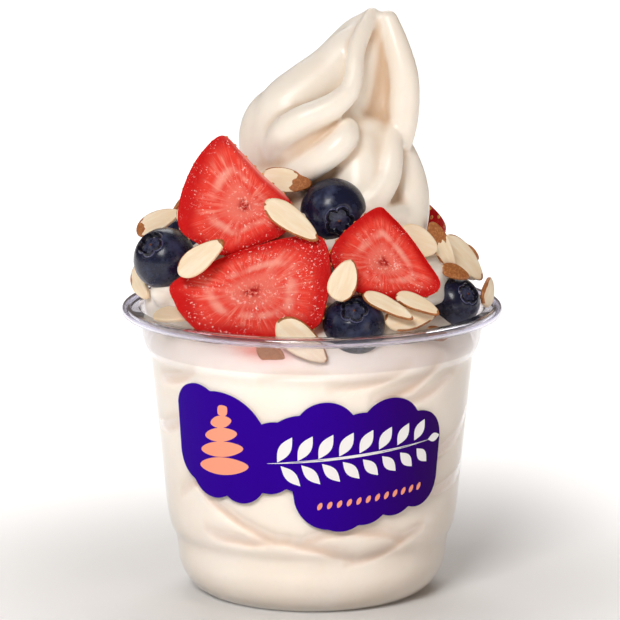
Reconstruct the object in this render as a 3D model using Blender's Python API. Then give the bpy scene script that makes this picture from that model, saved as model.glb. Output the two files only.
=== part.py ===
"""Frozen yogurt cup: a clear squat cup, its filling and piped swirl, cut strawberries, blueberries and flaked almonds.

All sizes below are in millimetres and are turned into metres when an object is made. The cup stands on z = 0
with its axis on Z, and the side with the label faces -Y.
"""

import math
from dataclasses import dataclass

import bmesh
import bpy
from mathutils import Matrix, Quaternion, Vector

MM = 0.001
GAP = 0.3  # left between pieces that touch

# Cup: one thermoformed sheet of even thickness, turned about Z.
CUP_SHEET = 0.6
CUP_SIDES = 36
CUP_HEIGHT = 75.0
RIM_RADIUS = 49.0
CURL_RADIUS = 1.35
CURL_TURN = 285.0
FLANGE_DROP = 0.7
BASE_RADIUS = 25.9
HEEL_WIDTH, HEEL_HEIGHT = 8.6, 11.2
FOOT_TOP = (35.1, 15.4)
LEDGE = (36.35, 17.3)
WAIST = (37.2, 21.5)
BODY_TOP = (41.2, 61.8)
SHOULDER = (42.95, 65.0)
NECK = (43.6, 68.5)
THROAT = (44.05, 73.2)

# Filling, up to the foot of the piped swirl.
FILL_SIDES = 36
FILL_WALL_GAP = 0.5
FILL_SHOULDER = (38.5, 72.5)
FILL_DOME = (24.0, 80.0)

# Piped swirl: a star-shaped rope coiled up a cone, with the last curl above it built from its separate ridges.
COIL_TURNS = 2.5
COIL_END_ANGLE = 250.0
COIL_END_HEIGHT = 110.0
COIL_END_RADIUS = 11.5
COIL_PITCH = 15.5
COIL_SPREAD = 8.8
COIL_CENTRE_X = 2.5
ROPE_RADIUS = 8.6
ROPE_SIDES = 30
STAR_POINTS = 6
STAR_DEPTH = 0.2
STAR_TWIST = 1.6  # degrees for each millimetre of rope
SWIRL_VOXEL = 1.25
SWIRL_SMOOTHING = 3
SWIRL_SHARE = 0.05  # of the faces, kept when the swirl is thinned out

# Each ridge: (x, y, z, radius) along its middle.
CORE = (
    (0, 0, 72, 30), (0, 0, 80, 26), (1, 0, 93, 20), (2, 0, 106, 15), (5, -2, 116, 11.5), (4, -3, 122, 10),
    (8, -2.5, 129, 7.8), (12, -0.5, 137, 5.6), (15.5, 0, 144, 3.4), (16.2, -0.5, 148.5, 2.0),
)  # fmt: skip
RIDGES = {
    "core": CORE,
    "flank": ((13.7, 1, 147.7, 3.2), (9.7, 3, 141.9, 4.6), (4.6, 3, 135.2, 5.8), (-2.3, 1, 128.5, 6.4),
              (-10.2, -3, 123, 6.8), (-12.7, -6, 117, 6), (-10.2, -6, 111.5, 6)),  # fmt: skip
    "cheek": ((13.4, -0.5, 146, 3.2), (8.8, -1.8, 140.5, 5.2), (4.5, -3, 135, 6.6), (-1, -4.5, 130, 7.6),
              (-6.5, -6, 125.5, 7.6), (-10, -7, 119, 6.6)),  # fmt: skip
    "web": ((17.3, 0.5, 146, 2.8), (17.4, 0.8, 141, 3.8), (17.2, 1.2, 135, 5), (16, 1, 128, 6), (15, 0, 121, 6.5)),
    "fold": ((15.2, -1.2, 149.9, 1.6), (12.9, -6, 145.3, 2.2), (11.6, -8.5, 142.4, 2.3), (10.8, -11, 138.8, 2.4),
             (10.5, -13, 135.1, 2.5), (9.3, -14.5, 131.6, 2.8), (6.4, -15.6, 128.8, 3.2), (2.4, -16.3, 126.6, 3.5),
             (-2.3, -16.5, 124.6, 3.7), (-6.6, -15.5, 121.6, 3.7), (-8.9, -13.2, 118.2, 3.3),
             (-9.3, -11, 114.4, 3)),  # fmt: skip
    "under_fold": ((8.5, -7.5, 124.5, 4.5), (5, -9.8, 122.5, 5.5), (0, -11, 120, 5.8), (-5, -10.5, 116, 5.5)),
    "fall": ((19.3, -1, 148, 2.6), (20.5, -3.5, 142, 4.1), (22.2, -5.5, 134.5, 4.8), (22.3, -6, 127.7, 5.1),
             (22.3, -6.5, 122, 4.5), (22.8, -6, 118.4, 3.2)),  # fmt: skip
    "second_left": ((9.2, -14.5, 122.0, 2.8), (8.6, -16.2, 120.4, 3.3), (6.8, -17.2, 118.3, 3.5),
                    (4.2, -17.4, 116.0, 3.6), (1.0, -16.6, 113.8, 3.7), (-3, -14.6, 111.4, 3.8),
                    (-8, -12.6, 108.0, 4.2), (-12.5, -13, 104.1, 5)),  # fmt: skip
    "second_front": ((18.8, -7.5, 120.8, 2.0), (18.9, -10, 117.9, 2.3), (19.3, -12.5, 114.1, 2.5),
                     (19.3, -14.5, 110.1, 2.6), (17.6, -16.5, 106.6, 2.8), (15.1, -18, 103.6, 3.0),
                     (11, -18.5, 99.5, 3.6)),  # fmt: skip
    "second_right": ((21.5, -2, 118, 3), (23.2, -3, 111.5, 4.6), (24.4, -5, 105, 5.4), (23.8, -8, 98.5, 6),
                     (21, -13, 92, 7)),  # fmt: skip
    "apron": ((8, -7.5, 115, 7.5), (10, -8.5, 109, 8.0), (10, -9.5, 103, 9), (8, -9, 96, 11)),
    "shelf": ((-7, -6, 116, 6.5), (0, -7, 117.5, 7.5), (9, -6.5, 118, 7.6), (17, -4.5, 118, 5.6)),
    "left_bulge": ((-24, -4, 84, 9), (-32, -10, 81, 7.5), (-36.5, -14, 80.5, 4.6)),
}

# Fruit and nuts
SKIN_RINGS = 5
SKIN_FULLNESS = 0.6
OUTLINE_PER_SPAN = 2
BERRY_SIDES, BERRY_RINGS = 15, 8
CROWN_ANGLE = 26.0
CROWN_POINTS = 5
FLAKE_SIDES = 14
FLAKE_THICKNESS = 1.1

# Label: scallops along its edge as (along the wall, height, radius).
LABEL_THICKNESS = 0.4
LABEL_COLUMNS = 64
SCALLOPS = (
    (-31, 52.5, 7.4), (-31.5, 41.5, 7.2), (-24.5, 45.5, 13.2), (-27, 38.5, 7.8), (-18.8, 37, 6.8), (-9, 43.5, 8.6),
    (-11, 40.2, 6.9), (-2.5, 44, 10), (3.5, 49.5, 7.9), (4.5, 33.5, 9.3), (13, 45, 9.4), (13.5, 33.2, 8.2),
    (20.4, 49, 8.6), (22, 34.5, 7.8), (28.6, 45, 8.2), (29.4, 42.5, 7), (29.6, 35.2, 7.2), (7.5, 32, 8.4),
)  # fmt: skip


@dataclass(frozen=True)
class Place:
    """Where a topping sits: its centre, the way it faces, its roll in that plane, and a turn of it all about Z."""

    x: float
    y: float
    z: float
    azimuth: float
    tilt: float
    roll: float = 0.0
    around: float = 0.0

    def matrix(self):
        """The transform from the topping's own axes: it faces +Z and its length is on X."""
        side, rise = math.radians(self.azimuth), math.radians(self.tilt)
        facing = Vector((math.sin(side) * math.cos(rise), -math.cos(side) * math.cos(rise), math.sin(rise)))
        right = Vector((math.cos(side), math.sin(side), 0.0))
        length = Quaternion(facing, math.radians(self.roll)) @ right
        turn = Matrix((length, facing.cross(length), facing)).transposed().to_4x4()
        about = Matrix.Rotation(math.radians(self.around), 4, "Z")
        return about @ Matrix.Translation((self.x, self.y, self.z)) @ turn


@dataclass(frozen=True)
class Slice:
    """A cut strawberry: the cut face's corners, and how deep the fruit goes behind it."""

    place: Place
    corners: tuple
    depth: float


@dataclass(frozen=True)
class Berry:
    """A blueberry, with its crown on the side it faces."""

    place: Place
    radius: float


@dataclass(frozen=True)
class Flake:
    """A flaked almond, one end narrower than the other."""

    place: Place
    length: float
    width: float


TALL_CUT = ((-4, 15), (-9.5, 10), (-13, 3), (-14.5, -3.5), (-14, -8.5), (-10.5, -11.5), (-2.5, -15), (5, -12.5),
            (13, -8.5), (14, -1.5), (6.5, 5.5), (1, 11))  # fmt: skip
BROAD_CUT = ((-20, 0.5), (-9.5, 6.5), (-1, 10), (8.5, 13), (17, 13.5), (20, 6), (19.5, -3), (17.5, -9), (9, -12),
             (-1.5, -12.5), (-11.5, -11.5), (-16, -8.5), (-19, -4.5))  # fmt: skip
BLUNT_CUT = ((-1, 12.5), (-7, 9), (-12.5, 4), (-14, -0.5), (-11, -6), (-7, -9), (1.5, -11), (10, -10.5),
             (13.5, -7.5), (10.5, -1.5), (6.5, 5), (2, 10.5))  # fmt: skip
SLICES = (
    Slice(Place(-19, -24.5, 106.6, -8, 12), TALL_CUT, 7.5),
    Slice(Place(-15.4, -32.5, 84.7, -12, 20), BROAD_CUT, 8.0),
    Slice(Place(18.3, -29.8, 92.2, 12, 20), BLUNT_CUT, 6.5),
    Slice(Place(-17, -27, 92, -4, 24, 8, 170), BLUNT_CUT, 7.5),
    Slice(Place(15, -30, 87, 8, 24, -14, 176), BROAD_CUT, 8.0),
)
BERRIES = (
    Berry(Place(-37.4, -13.5, 88.8, -40, 40), 8.0),
    Berry(Place(5.4, -19.3, 101.8, 12, -11), 8.4),
    Berry(Place(10.4, -33.4, 75.4, 0, 46), 7.8),
    Berry(Place(36.5, -10.5, 77.2, 41, 29), 6.5),
    Berry(Place(-2, -25.5, 102.5, -10, 40, 0, 172), 7.6),
    Berry(Place(33, -15, 88, 25, 10, 0, 183), 7.2),
    Berry(Place(-11, -34, 78, 5, 35, 0, 130), 7.4),
)
FLAKES = (
    Flake(Place(-6.4, -19, 109.6, 5, 20, -9), 13.1, 6.2),
    Flake(Place(-5, -31.8, 101.6, 5, 30, -40), 16.6, 6.3),
    Flake(Place(-27.6, -33, 92.5, -20, 25, 42), 14, 6.6),
    Flake(Place(-39.3, -6, 97, -30, 35, 33), 12.6, 6.3),
    Flake(Place(-31, -10.5, 101.5, -20, 10, 62), 10.5, 5),
    Flake(Place(-44, -7.5, 81.5, -60, 15, -31), 12.4, 5.7),
    Flake(Place(-35.5, -25, 76.5, -35, 60, 0), 10.5, 5.5),
    Flake(Place(-2.5, -41, 72.9, -3, 8, -38), 15.5, 7.6),
    Flake(Place(-9.8, -38.5, 69, -12, 2, -37), 9, 5.2),
    Flake(Place(7.9, -37.6, 87.6, 5, 12, 69), 10.9, 7),
    Flake(Place(18.9, -36.8, 81, 10, 40, -33), 14, 4.3),
    Flake(Place(26.3, -35, 81.2, 15, 40, -31), 11.9, 4.4),
    Flake(Place(25, -33.4, 77.8, 20, 35, 10), 15, 7),
    Flake(Place(31.5, -27.5, 72, 45, 0, -22), 7.4, 3.5),
    Flake(Place(26.5, -17.5, 93.6, 15, 15, -22), 11.4, 8.2),
    Flake(Place(33.2, -12.5, 91, 35, 10, -67), 15.3, 5.2),
    Flake(Place(39, -4.5, 87.2, 50, 25, -53), 15.5, 8),
    Flake(Place(45.2, -4.5, 78.6, 65, 10, 41), 9, 5.5),
    Flake(Place(36.5, -14.5, 85.5, 40, 40, -26), 8.2, 4.4),
    Flake(Place(24, -26, 99.5, 30, 30, -40, 200), 14.5, 6.6),
    Flake(Place(-31, -32.5, 79.5, -30, 40, 10, 165), 13, 6),
    Flake(Place(37.5, -22, 78.5, 40, 45, 15, 185), 12, 6),
    Flake(Place(0, -36, 84, 0, 35, -50, 190), 13.5, 6.2),
    Flake(Place(-40, -3, 87, -60, 35, 10, 190), 12, 6),
    Flake(Place(-15.5, -20, 108, -20, 25, 35, 180), 14, 6),
)


# ---------------------------------------------------------------- shared helpers


def material(name, colour, roughness, metallic=0.0, transmission=0.0):
    """A Principled material of one colour."""
    made = bpy.data.materials.get(name) or bpy.data.materials.new(name)
    made.use_nodes = True
    shader = made.node_tree.nodes["Principled BSDF"]
    shader.inputs["Base Color"].default_value = (*colour, 1.0)
    shader.inputs["Roughness"].default_value = roughness
    shader.inputs["Metallic"].default_value = metallic
    shader.inputs["Transmission Weight"].default_value = transmission
    return made


def face_out(shape):
    """Makes every face of a closed shape point outwards."""
    bmesh.ops.recalc_face_normals(shape, faces=shape.faces)
    if shape.calc_volume(signed=True) < 0:
        bmesh.ops.reverse_faces(shape, faces=shape.faces)


def object_from(shape, name, finish, crease=40.0):
    """Turns a bmesh in millimetres into an object in metres, shaded smooth up to the crease angle."""
    face_out(shape)
    bmesh.ops.scale(shape, vec=Vector((MM, MM, MM)), verts=shape.verts)
    mesh = bpy.data.meshes.new(name)
    shape.to_mesh(mesh)
    shape.free()
    mesh.shade_smooth()
    mesh.set_sharp_from_angle(angle=math.radians(crease))
    made = bpy.data.objects.new(name, mesh)
    bpy.context.scene.collection.objects.link(made)
    made.data.materials.append(finish)
    return made


def turned(outline, sides):
    """Spins a closed outline of (radius, height) points about Z into a solid."""
    shape = bmesh.new()
    points = [shape.verts.new((radius, 0.0, height)) for radius, height in outline]
    for a, b in zip(points, points[1:] + points[:1]):
        if a.co.x > 0 or b.co.x > 0:
            shape.edges.new((a, b))
    bmesh.ops.spin(
        shape,
        geom=shape.verts[:] + shape.edges[:],
        axis=(0, 0, 1),
        cent=(0, 0, 0),
        steps=sides,
        angle=math.tau,
        use_merge=True,
    )
    bmesh.ops.remove_doubles(shape, verts=shape.verts, dist=1e-5)
    return shape


def arc(centre, radii, start, end, steps):
    """Points along an arc of an ellipse, from start to end degrees, both included."""
    points = []
    for i in range(steps + 1):
        a = math.radians(start + (end - start) * i / steps)
        points.append((centre[0] + radii[0] * math.cos(a), centre[1] + radii[1] * math.sin(a)))
    return points


def smooth_through(points, per_span):
    """Points on a Catmull-Rom curve through the given ones."""
    ends = [points[0] * 2 - points[1], *points, points[-1] * 2 - points[-2]]
    found = []
    for a, b, c, d in zip(ends, ends[1:], ends[2:], ends[3:]):
        for i in range(per_span):
            t = i / per_span
            found.append(
                0.5 * (2 * b + (c - a) * t + (2 * a - 5 * b + 4 * c - d) * t * t + (3 * b - a - 3 * c + d) * t**3)
            )
    found.append(points[-1].copy())
    return found


# ---------------------------------------------------------------- cup


def cup_midline():
    """The middle of the cup's sheet as (radius, height) points, from the axis out to the end of the rim's curl."""
    half = CUP_SHEET / 2
    curl = CURL_RADIUS - half
    curl_centre = (RIM_RADIUS - CURL_RADIUS, CUP_HEIGHT - CURL_RADIUS)
    flange = CUP_HEIGHT - FLANGE_DROP
    meets = 180.0 - math.degrees(math.asin((flange - curl_centre[1]) / curl))
    return [
        (0.0, half),
        *arc((BASE_RADIUS, half + HEEL_HEIGHT), (HEEL_WIDTH, HEEL_HEIGHT), -90, 0, 4),
        FOOT_TOP,
        LEDGE,
        WAIST,
        BODY_TOP,
        SHOULDER,
        NECK,
        THROAT,
        (THROAT[0] + 0.75, flange),
        *arc(curl_centre, (curl, curl), meets, meets - CURL_TURN, 7),
    ]


def offset(line, distance):
    """The line moved sideways by a distance, to the left of its direction."""
    moved = []
    for i, point in enumerate(line):
        before, after = line[max(i - 1, 0)], line[min(i + 1, len(line) - 1)]
        into = Vector(point) - Vector(before) if i else Vector(after) - Vector(point)
        out = Vector(after) - Vector(point) if i < len(line) - 1 else into
        normals = [Vector((-d.y, d.x)).normalized() for d in (into, out)]
        middle = (normals[0] + normals[1]).normalized()
        reach = distance / max(0.5, middle.dot(normals[0]))
        moved.append((max(0.0, point[0] + middle.x * reach), point[1] + middle.y * reach))
    return moved


def build_cup():
    """The clear cup, open at the top."""
    middle = cup_midline()
    inner = offset(middle, CUP_SHEET / 2)
    outer = offset(middle, -CUP_SHEET / 2)
    shape = turned(outer + inner[::-1], CUP_SIDES)
    clear = material("clear_plastic", (0.95, 0.96, 0.98), 0.05, transmission=1.0)
    return object_from(shape, "cup", clear)


# ---------------------------------------------------------------- filling and swirl


def fill_outline():
    """The filling's outline from the axis on the cup's floor, up inside the wall, and in over the top."""
    wall = [p for p in cup_midline() if p[0] < RIM_RADIUS - 4 and p[1] < FILL_SHOULDER[1]]
    inside = offset(wall, CUP_SHEET / 2 + FILL_WALL_GAP)
    return inside + [FILL_SHOULDER, FILL_DOME, (0.0, FILL_DOME[1] + 2)]


def tube(shape, route, sides, section=None):
    """Sweeps a ring along 4-vectors (x, y, z, radius) by extruding it, and closes its ends.

    A section takes the angle round the ring and the length so far, and gives a share of the radius.
    """
    places = [Vector(p[:3]) for p in route]
    across = (places[1] - places[0]).orthogonal().normalized()
    travelled, rings = 0.0, []
    for i, place in enumerate(places):
        ahead = (places[min(i + 1, len(places) - 1)] - places[max(i - 1, 0)]).normalized()
        across = (across - ahead * across.dot(ahead)).normalized()
        other = ahead.cross(across)
        travelled += (place - places[i - 1]).length if i else 0.0
        ring = []
        for k in range(sides):
            angle = math.tau * k / sides
            reach = route[i][3] * (section(angle, travelled) if section else 1.0)
            ring.append(shape.verts.new(place + (across * math.cos(angle) + other * math.sin(angle)) * reach))
        if rings:
            for a, b, c, d in zip(rings[-1], rings[-1][1:] + rings[-1][:1], ring[1:] + ring[:1], ring):
                shape.faces.new((a, b, c, d))
        rings.append(ring)
    shape.faces.new(rings[0][::-1])
    shape.faces.new(rings[-1])


def coil_route():
    """The coiled rope's centre line as 4-vectors, from the outer foot of the cone to its top."""
    steps = round(COIL_TURNS * 20)
    route = []
    for i in range(steps + 1):
        left = COIL_TURNS * (1 - i / steps)
        angle = math.radians(COIL_END_ANGLE - 360 * left)
        radius = COIL_END_RADIUS + COIL_SPREAD * left
        height = COIL_END_HEIGHT - COIL_PITCH * left
        route.append(Vector((COIL_CENTRE_X + radius * math.cos(angle), radius * math.sin(angle), height, ROPE_RADIUS)))
    return route


def star(angle, travelled):
    """The rope's section: 1 on a ridge and less in the grooves, turning slowly along the rope."""
    return 1 - STAR_DEPTH * (0.5 - 0.5 * math.cos(STAR_POINTS * (angle - math.radians(STAR_TWIST * travelled))))


def build_swirl():
    """The piped swirl as one thinned-out mesh: the coil and every ridge, melted together."""
    shape = bmesh.new()
    tube(shape, coil_route(), ROPE_SIDES, star)
    for ridge in RIDGES.values():
        route = smooth_through([Vector(point) for point in ridge], 5)
        tube(shape, route, 16)
        for end in (route[0], route[-1]):
            bmesh.ops.create_icosphere(
                shape, subdivisions=3, radius=end[3], matrix=Matrix.Translation(Vector(end[:3]))
            )
    swirl = object_from(shape, "swirl", material("yogurt", (0.93, 0.87, 0.77), 0.35))
    melt = swirl.modifiers.new("melt", "REMESH")
    melt.mode, melt.voxel_size = "VOXEL", SWIRL_VOXEL * MM
    ease = swirl.modifiers.new("ease", "SMOOTH")
    ease.factor, ease.iterations = 0.5, SWIRL_SMOOTHING
    thin = swirl.modifiers.new("thin", "DECIMATE")
    thin.ratio = SWIRL_SHARE
    return settle(swirl)


def settle(made):
    """Writes an object's modifiers into its mesh and keeps the largest piece."""
    bpy.context.view_layer.update()
    mesh = bpy.data.meshes.new_from_object(made.evaluated_get(bpy.context.evaluated_depsgraph_get()))
    made.modifiers.clear()
    made.data = mesh
    shape = bmesh.new()
    shape.from_mesh(mesh)
    bmesh.ops.triangulate(shape, faces=shape.faces)
    left, islands = set(shape.verts), []
    while left:
        island, edge = set(), [left.pop()]
        while edge:
            vert = edge.pop()
            island.add(vert)
            near = {e.other_vert(vert) for e in vert.link_edges} & left
            left -= near
            edge.extend(near)
        islands.append(island)
    largest = max(islands, key=len)
    bmesh.ops.delete(shape, geom=[v for v in shape.verts if v not in largest], context="VERTS")
    shape.to_mesh(mesh)
    shape.free()
    return made


def combine(made, other, operation):
    """Joins another object to this one, or cuts it away, and removes the other."""
    step = made.modifiers.new(operation, "BOOLEAN")
    step.operation, step.solver, step.object = operation, "EXACT", other
    settle(made)
    bpy.data.objects.remove(other)


def build_yogurt(cutters):
    """The filling and its swirl in one solid, with a seat cut for every topping."""
    cream = material("yogurt", (0.93, 0.87, 0.77), 0.35)
    yogurt = object_from(turned(fill_outline(), FILL_SIDES), "yogurt", cream)
    combine(yogurt, build_swirl(), "UNION")
    for cutter in cutters:
        combine(yogurt, cutter, "DIFFERENCE")
    yogurt.data.set_sharp_from_angle(angle=math.radians(40))
    return yogurt


# ---------------------------------------------------------------- toppings


def slice_shape(item):
    """A strawberry slice: its flat cut face and the rounded skin behind it."""
    shape = bmesh.new()
    corners = [Vector((x, y, 0)) for x, y in item.corners]
    closed = smooth_through(corners[-2:] + corners + corners[:2], OUTLINE_PER_SPAN)
    outline = closed[2 * OUTLINE_PER_SPAN : -2 * OUTLINE_PER_SPAN - 1]
    middle = sum(outline, Vector()) / len(outline)
    rings = [[shape.verts.new(p) for p in outline]]
    for k in range(1, SKIN_RINGS):
        turn = math.pi / 2 * k / SKIN_RINGS
        share, back = math.cos(turn) ** SKIN_FULLNESS, -item.depth * math.sin(turn)
        rings.append([shape.verts.new(middle + (p - middle) * share + Vector((0, 0, back))) for p in outline])
        for a, b, c, d in zip(rings[-2], rings[-2][1:] + rings[-2][:1], rings[-1][1:] + rings[-1][:1], rings[-1]):
            shape.faces.new((a, b, c, d))
    shape.faces.new(rings[0])
    shape.faces.new(rings[-1][::-1])
    return shape


def berry_shape(item):
    """A blueberry: a slightly flattened ball with a ragged crown round a shallow pit."""
    shape = bmesh.new()
    bmesh.ops.create_uvsphere(shape, u_segments=BERRY_SIDES, v_segments=BERRY_RINGS, radius=item.radius)
    bmesh.ops.scale(shape, vec=Vector((1, 1, 0.93)), verts=shape.verts)
    for vert in shape.verts:
        off_axis = math.degrees(vert.co.angle(Vector((0, 0, 1))))
        if off_axis < 1:
            vert.co.z -= 0.16 * item.radius
        elif off_axis < CROWN_ANGLE:
            round_it = math.atan2(vert.co.y, vert.co.x)
            vert.co.z += 0.05 * item.radius * math.cos(CROWN_POINTS * round_it)
    return shape


def flake_shape(item):
    """An almond flake: a thin egg-shaped plate, bowed a little along its length."""
    shape = bmesh.new()
    half = FLAKE_THICKNESS / 2
    rings = []
    for side in (half, -half):
        ring = []
        for k in range(FLAKE_SIDES):
            angle = math.tau * k / FLAKE_SIDES
            x, y = math.cos(angle), math.sin(angle) * (1 - 0.28 * math.cos(angle))
            ring.append(shape.verts.new((x * item.length / 2, y * item.width / 2, side - 0.5 * x * x)))
        rings.append(ring)
    for a, b, c, d in zip(rings[0], rings[0][1:] + rings[0][:1], rings[1][1:] + rings[1][:1], rings[1]):
        shape.faces.new((a, b, c, d))
    for ring in rings:
        bmesh.ops.triangulate(shape, faces=[shape.faces.new(ring)])
    return shape


TOPPINGS = (
    ("strawberry", SLICES, slice_shape, ("strawberry", (0.75, 0.03, 0.02), 0.25)),
    ("blueberry", BERRIES, berry_shape, ("blueberry", (0.03, 0.05, 0.14), 0.4)),
    ("almond", FLAKES, flake_shape, ("almond", (0.9, 0.76, 0.55), 0.5)),
)


def build_toppings():
    """Every topping in its place, and a cutter for each, grown by the gap that the yogurt leaves round it."""
    cutters = []
    for kind, items, shaper, finish in TOPPINGS:
        for number, item in enumerate(items, 1):
            shape = shaper(item)
            face_out(shape)
            shape.transform(item.place.matrix())
            grown = shape.copy()
            grown.normal_update()
            moves = [(v, v.normal * v.calc_shell_factor() * (GAP + 0.1)) for v in grown.verts]
            for vert, move in moves:
                vert.co += move
            object_from(shape, f"{kind}_{number:02d}", material(*finish))
            cutters.append(object_from(grown, f"seat_{kind}_{number:02d}", material(*finish)))
    return cutters


# ---------------------------------------------------------------- label


def wall_radius(height):
    """The cup's outer radius where the wall is straight."""
    share = (height - WAIST[1]) / (BODY_TOP[1] - WAIST[1])
    return WAIST[0] + (BODY_TOP[0] - WAIST[0]) * share + CUP_SHEET / 2


def build_label():
    """The scalloped label, wrapped round the wall in columns from its lower edge to its upper edge."""
    first = min(u - r for u, _, r in SCALLOPS) + 0.05
    last = max(u + r for u, _, r in SCALLOPS) - 0.05
    shape = bmesh.new()
    rings = []
    for i in range(LABEL_COLUMNS + 1):
        u = first + (last - first) * i / LABEL_COLUMNS
        spans = [(v, math.sqrt(r * r - (u - c) ** 2)) for c, v, r in SCALLOPS if abs(u - c) < r]
        low, high = min(v - s for v, s in spans), max(v + s for v, s in spans)
        ring = []
        for v, lift in ((low, 0), (high, 0), (high, LABEL_THICKNESS), (low, LABEL_THICKNESS)):
            radius = wall_radius(v) + GAP + lift
            angle = u / (wall_radius(45) + GAP)
            ring.append(shape.verts.new((radius * math.sin(angle), -radius * math.cos(angle), v)))
        if rings:
            for a, b, c, d in zip(rings[-1], rings[-1][1:] + rings[-1][:1], ring[1:] + ring[:1], ring):
                shape.faces.new((a, b, c, d))
        rings.append(ring)
    shape.faces.new(rings[0][::-1])
    shape.faces.new(rings[-1])
    return object_from(shape, "label", material("label_violet", (0.035, 0.0, 0.27), 0.45))


def main():
    """Clears the scene and builds every piece."""
    for old in list(bpy.data.objects):
        bpy.data.objects.remove(old)
    build_cup()
    build_label()
    build_yogurt(build_toppings())


main()
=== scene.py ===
"""A clear cup of frozen yogurt: a piped swirl heaped with cut strawberries, blueberries and flaked almonds.

Every class below holds its sizes in millimetres and builds its own meshes; MM turns them into metres when a
piece is finished. The cup stands on z = 0 with its axis on Z, and the side with the label faces -Y.
"""

import logging
import math
from collections.abc import Sequence
from dataclasses import dataclass, field
from enum import Enum

import bmesh
import bpy
from mathutils import Matrix, Quaternion, Vector, kdtree, noise


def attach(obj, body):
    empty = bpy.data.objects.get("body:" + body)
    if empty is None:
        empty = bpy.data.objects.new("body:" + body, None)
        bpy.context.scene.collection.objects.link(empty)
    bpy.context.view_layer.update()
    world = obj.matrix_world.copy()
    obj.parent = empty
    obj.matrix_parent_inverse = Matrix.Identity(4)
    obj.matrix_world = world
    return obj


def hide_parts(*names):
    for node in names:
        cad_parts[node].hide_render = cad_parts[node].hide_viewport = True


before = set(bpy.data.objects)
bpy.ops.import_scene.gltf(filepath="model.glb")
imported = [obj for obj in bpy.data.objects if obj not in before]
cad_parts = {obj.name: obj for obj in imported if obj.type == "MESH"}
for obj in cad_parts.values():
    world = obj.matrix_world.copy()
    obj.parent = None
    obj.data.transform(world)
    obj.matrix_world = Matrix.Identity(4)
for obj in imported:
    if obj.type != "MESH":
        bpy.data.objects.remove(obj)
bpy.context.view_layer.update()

MM = 0.001
BODY = "root"
Colour = tuple[float, float, float]
log = logging.getLogger("frozen_yogurt")


class Slot(Enum):
    """The record's material slots."""

    CLEAR = "clear_plastic"
    YOGURT = "yogurt"
    LABEL = "label_violet"
    STRAWBERRY = "strawberry"
    BLUEBERRY = "blueberry"
    ALMOND = "almond"


# ---------------------------------------------------------------- shader expressions


class Value:
    """A socket that takes part in arithmetic: each operation adds the Math node that does it."""

    def __init__(self, shader: "Shader", socket: bpy.types.NodeSocket) -> None:
        """Wraps an output socket of a shader's node."""
        self.shader = shader
        self.socket = socket

    def _math(self, operation: str, *terms: "Value | float") -> "Value":
        """Adds one Math node."""
        return self.shader.node("ShaderNodeMath", {"operation": operation}, dict(enumerate(terms)))

    def __add__(self, other: "Value | float") -> "Value":
        """self + other."""
        return self._math("ADD", self, other)

    def __sub__(self, other: "Value | float") -> "Value":
        """self - other."""
        return self._math("SUBTRACT", self, other)

    def __rsub__(self, other: "Value | float") -> "Value":
        """other - self."""
        return self._math("SUBTRACT", other, self)

    def __mul__(self, other: "Value | float") -> "Value":
        """self * other."""
        return self._math("MULTIPLY", self, other)

    __radd__ = __add__
    __rmul__ = __mul__

    def clamped(self) -> "Value":
        """self kept between 0 and 1."""
        return self._math("MINIMUM", self._math("MAXIMUM", self, 0.0), 1.0)

    def rise(self, low: float, high: float) -> "Value":
        """A smooth step: 0 up to low, 1 from high on.

        Args:
            low: Where the step starts.
            high: Where it ends; below low, the step falls instead.

        Returns:
            The step, from 0 to 1.
        """
        share = ((self - low) * (1.0 / (high - low))).clamped()
        return share * share * (3.0 - share * 2.0)


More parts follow.
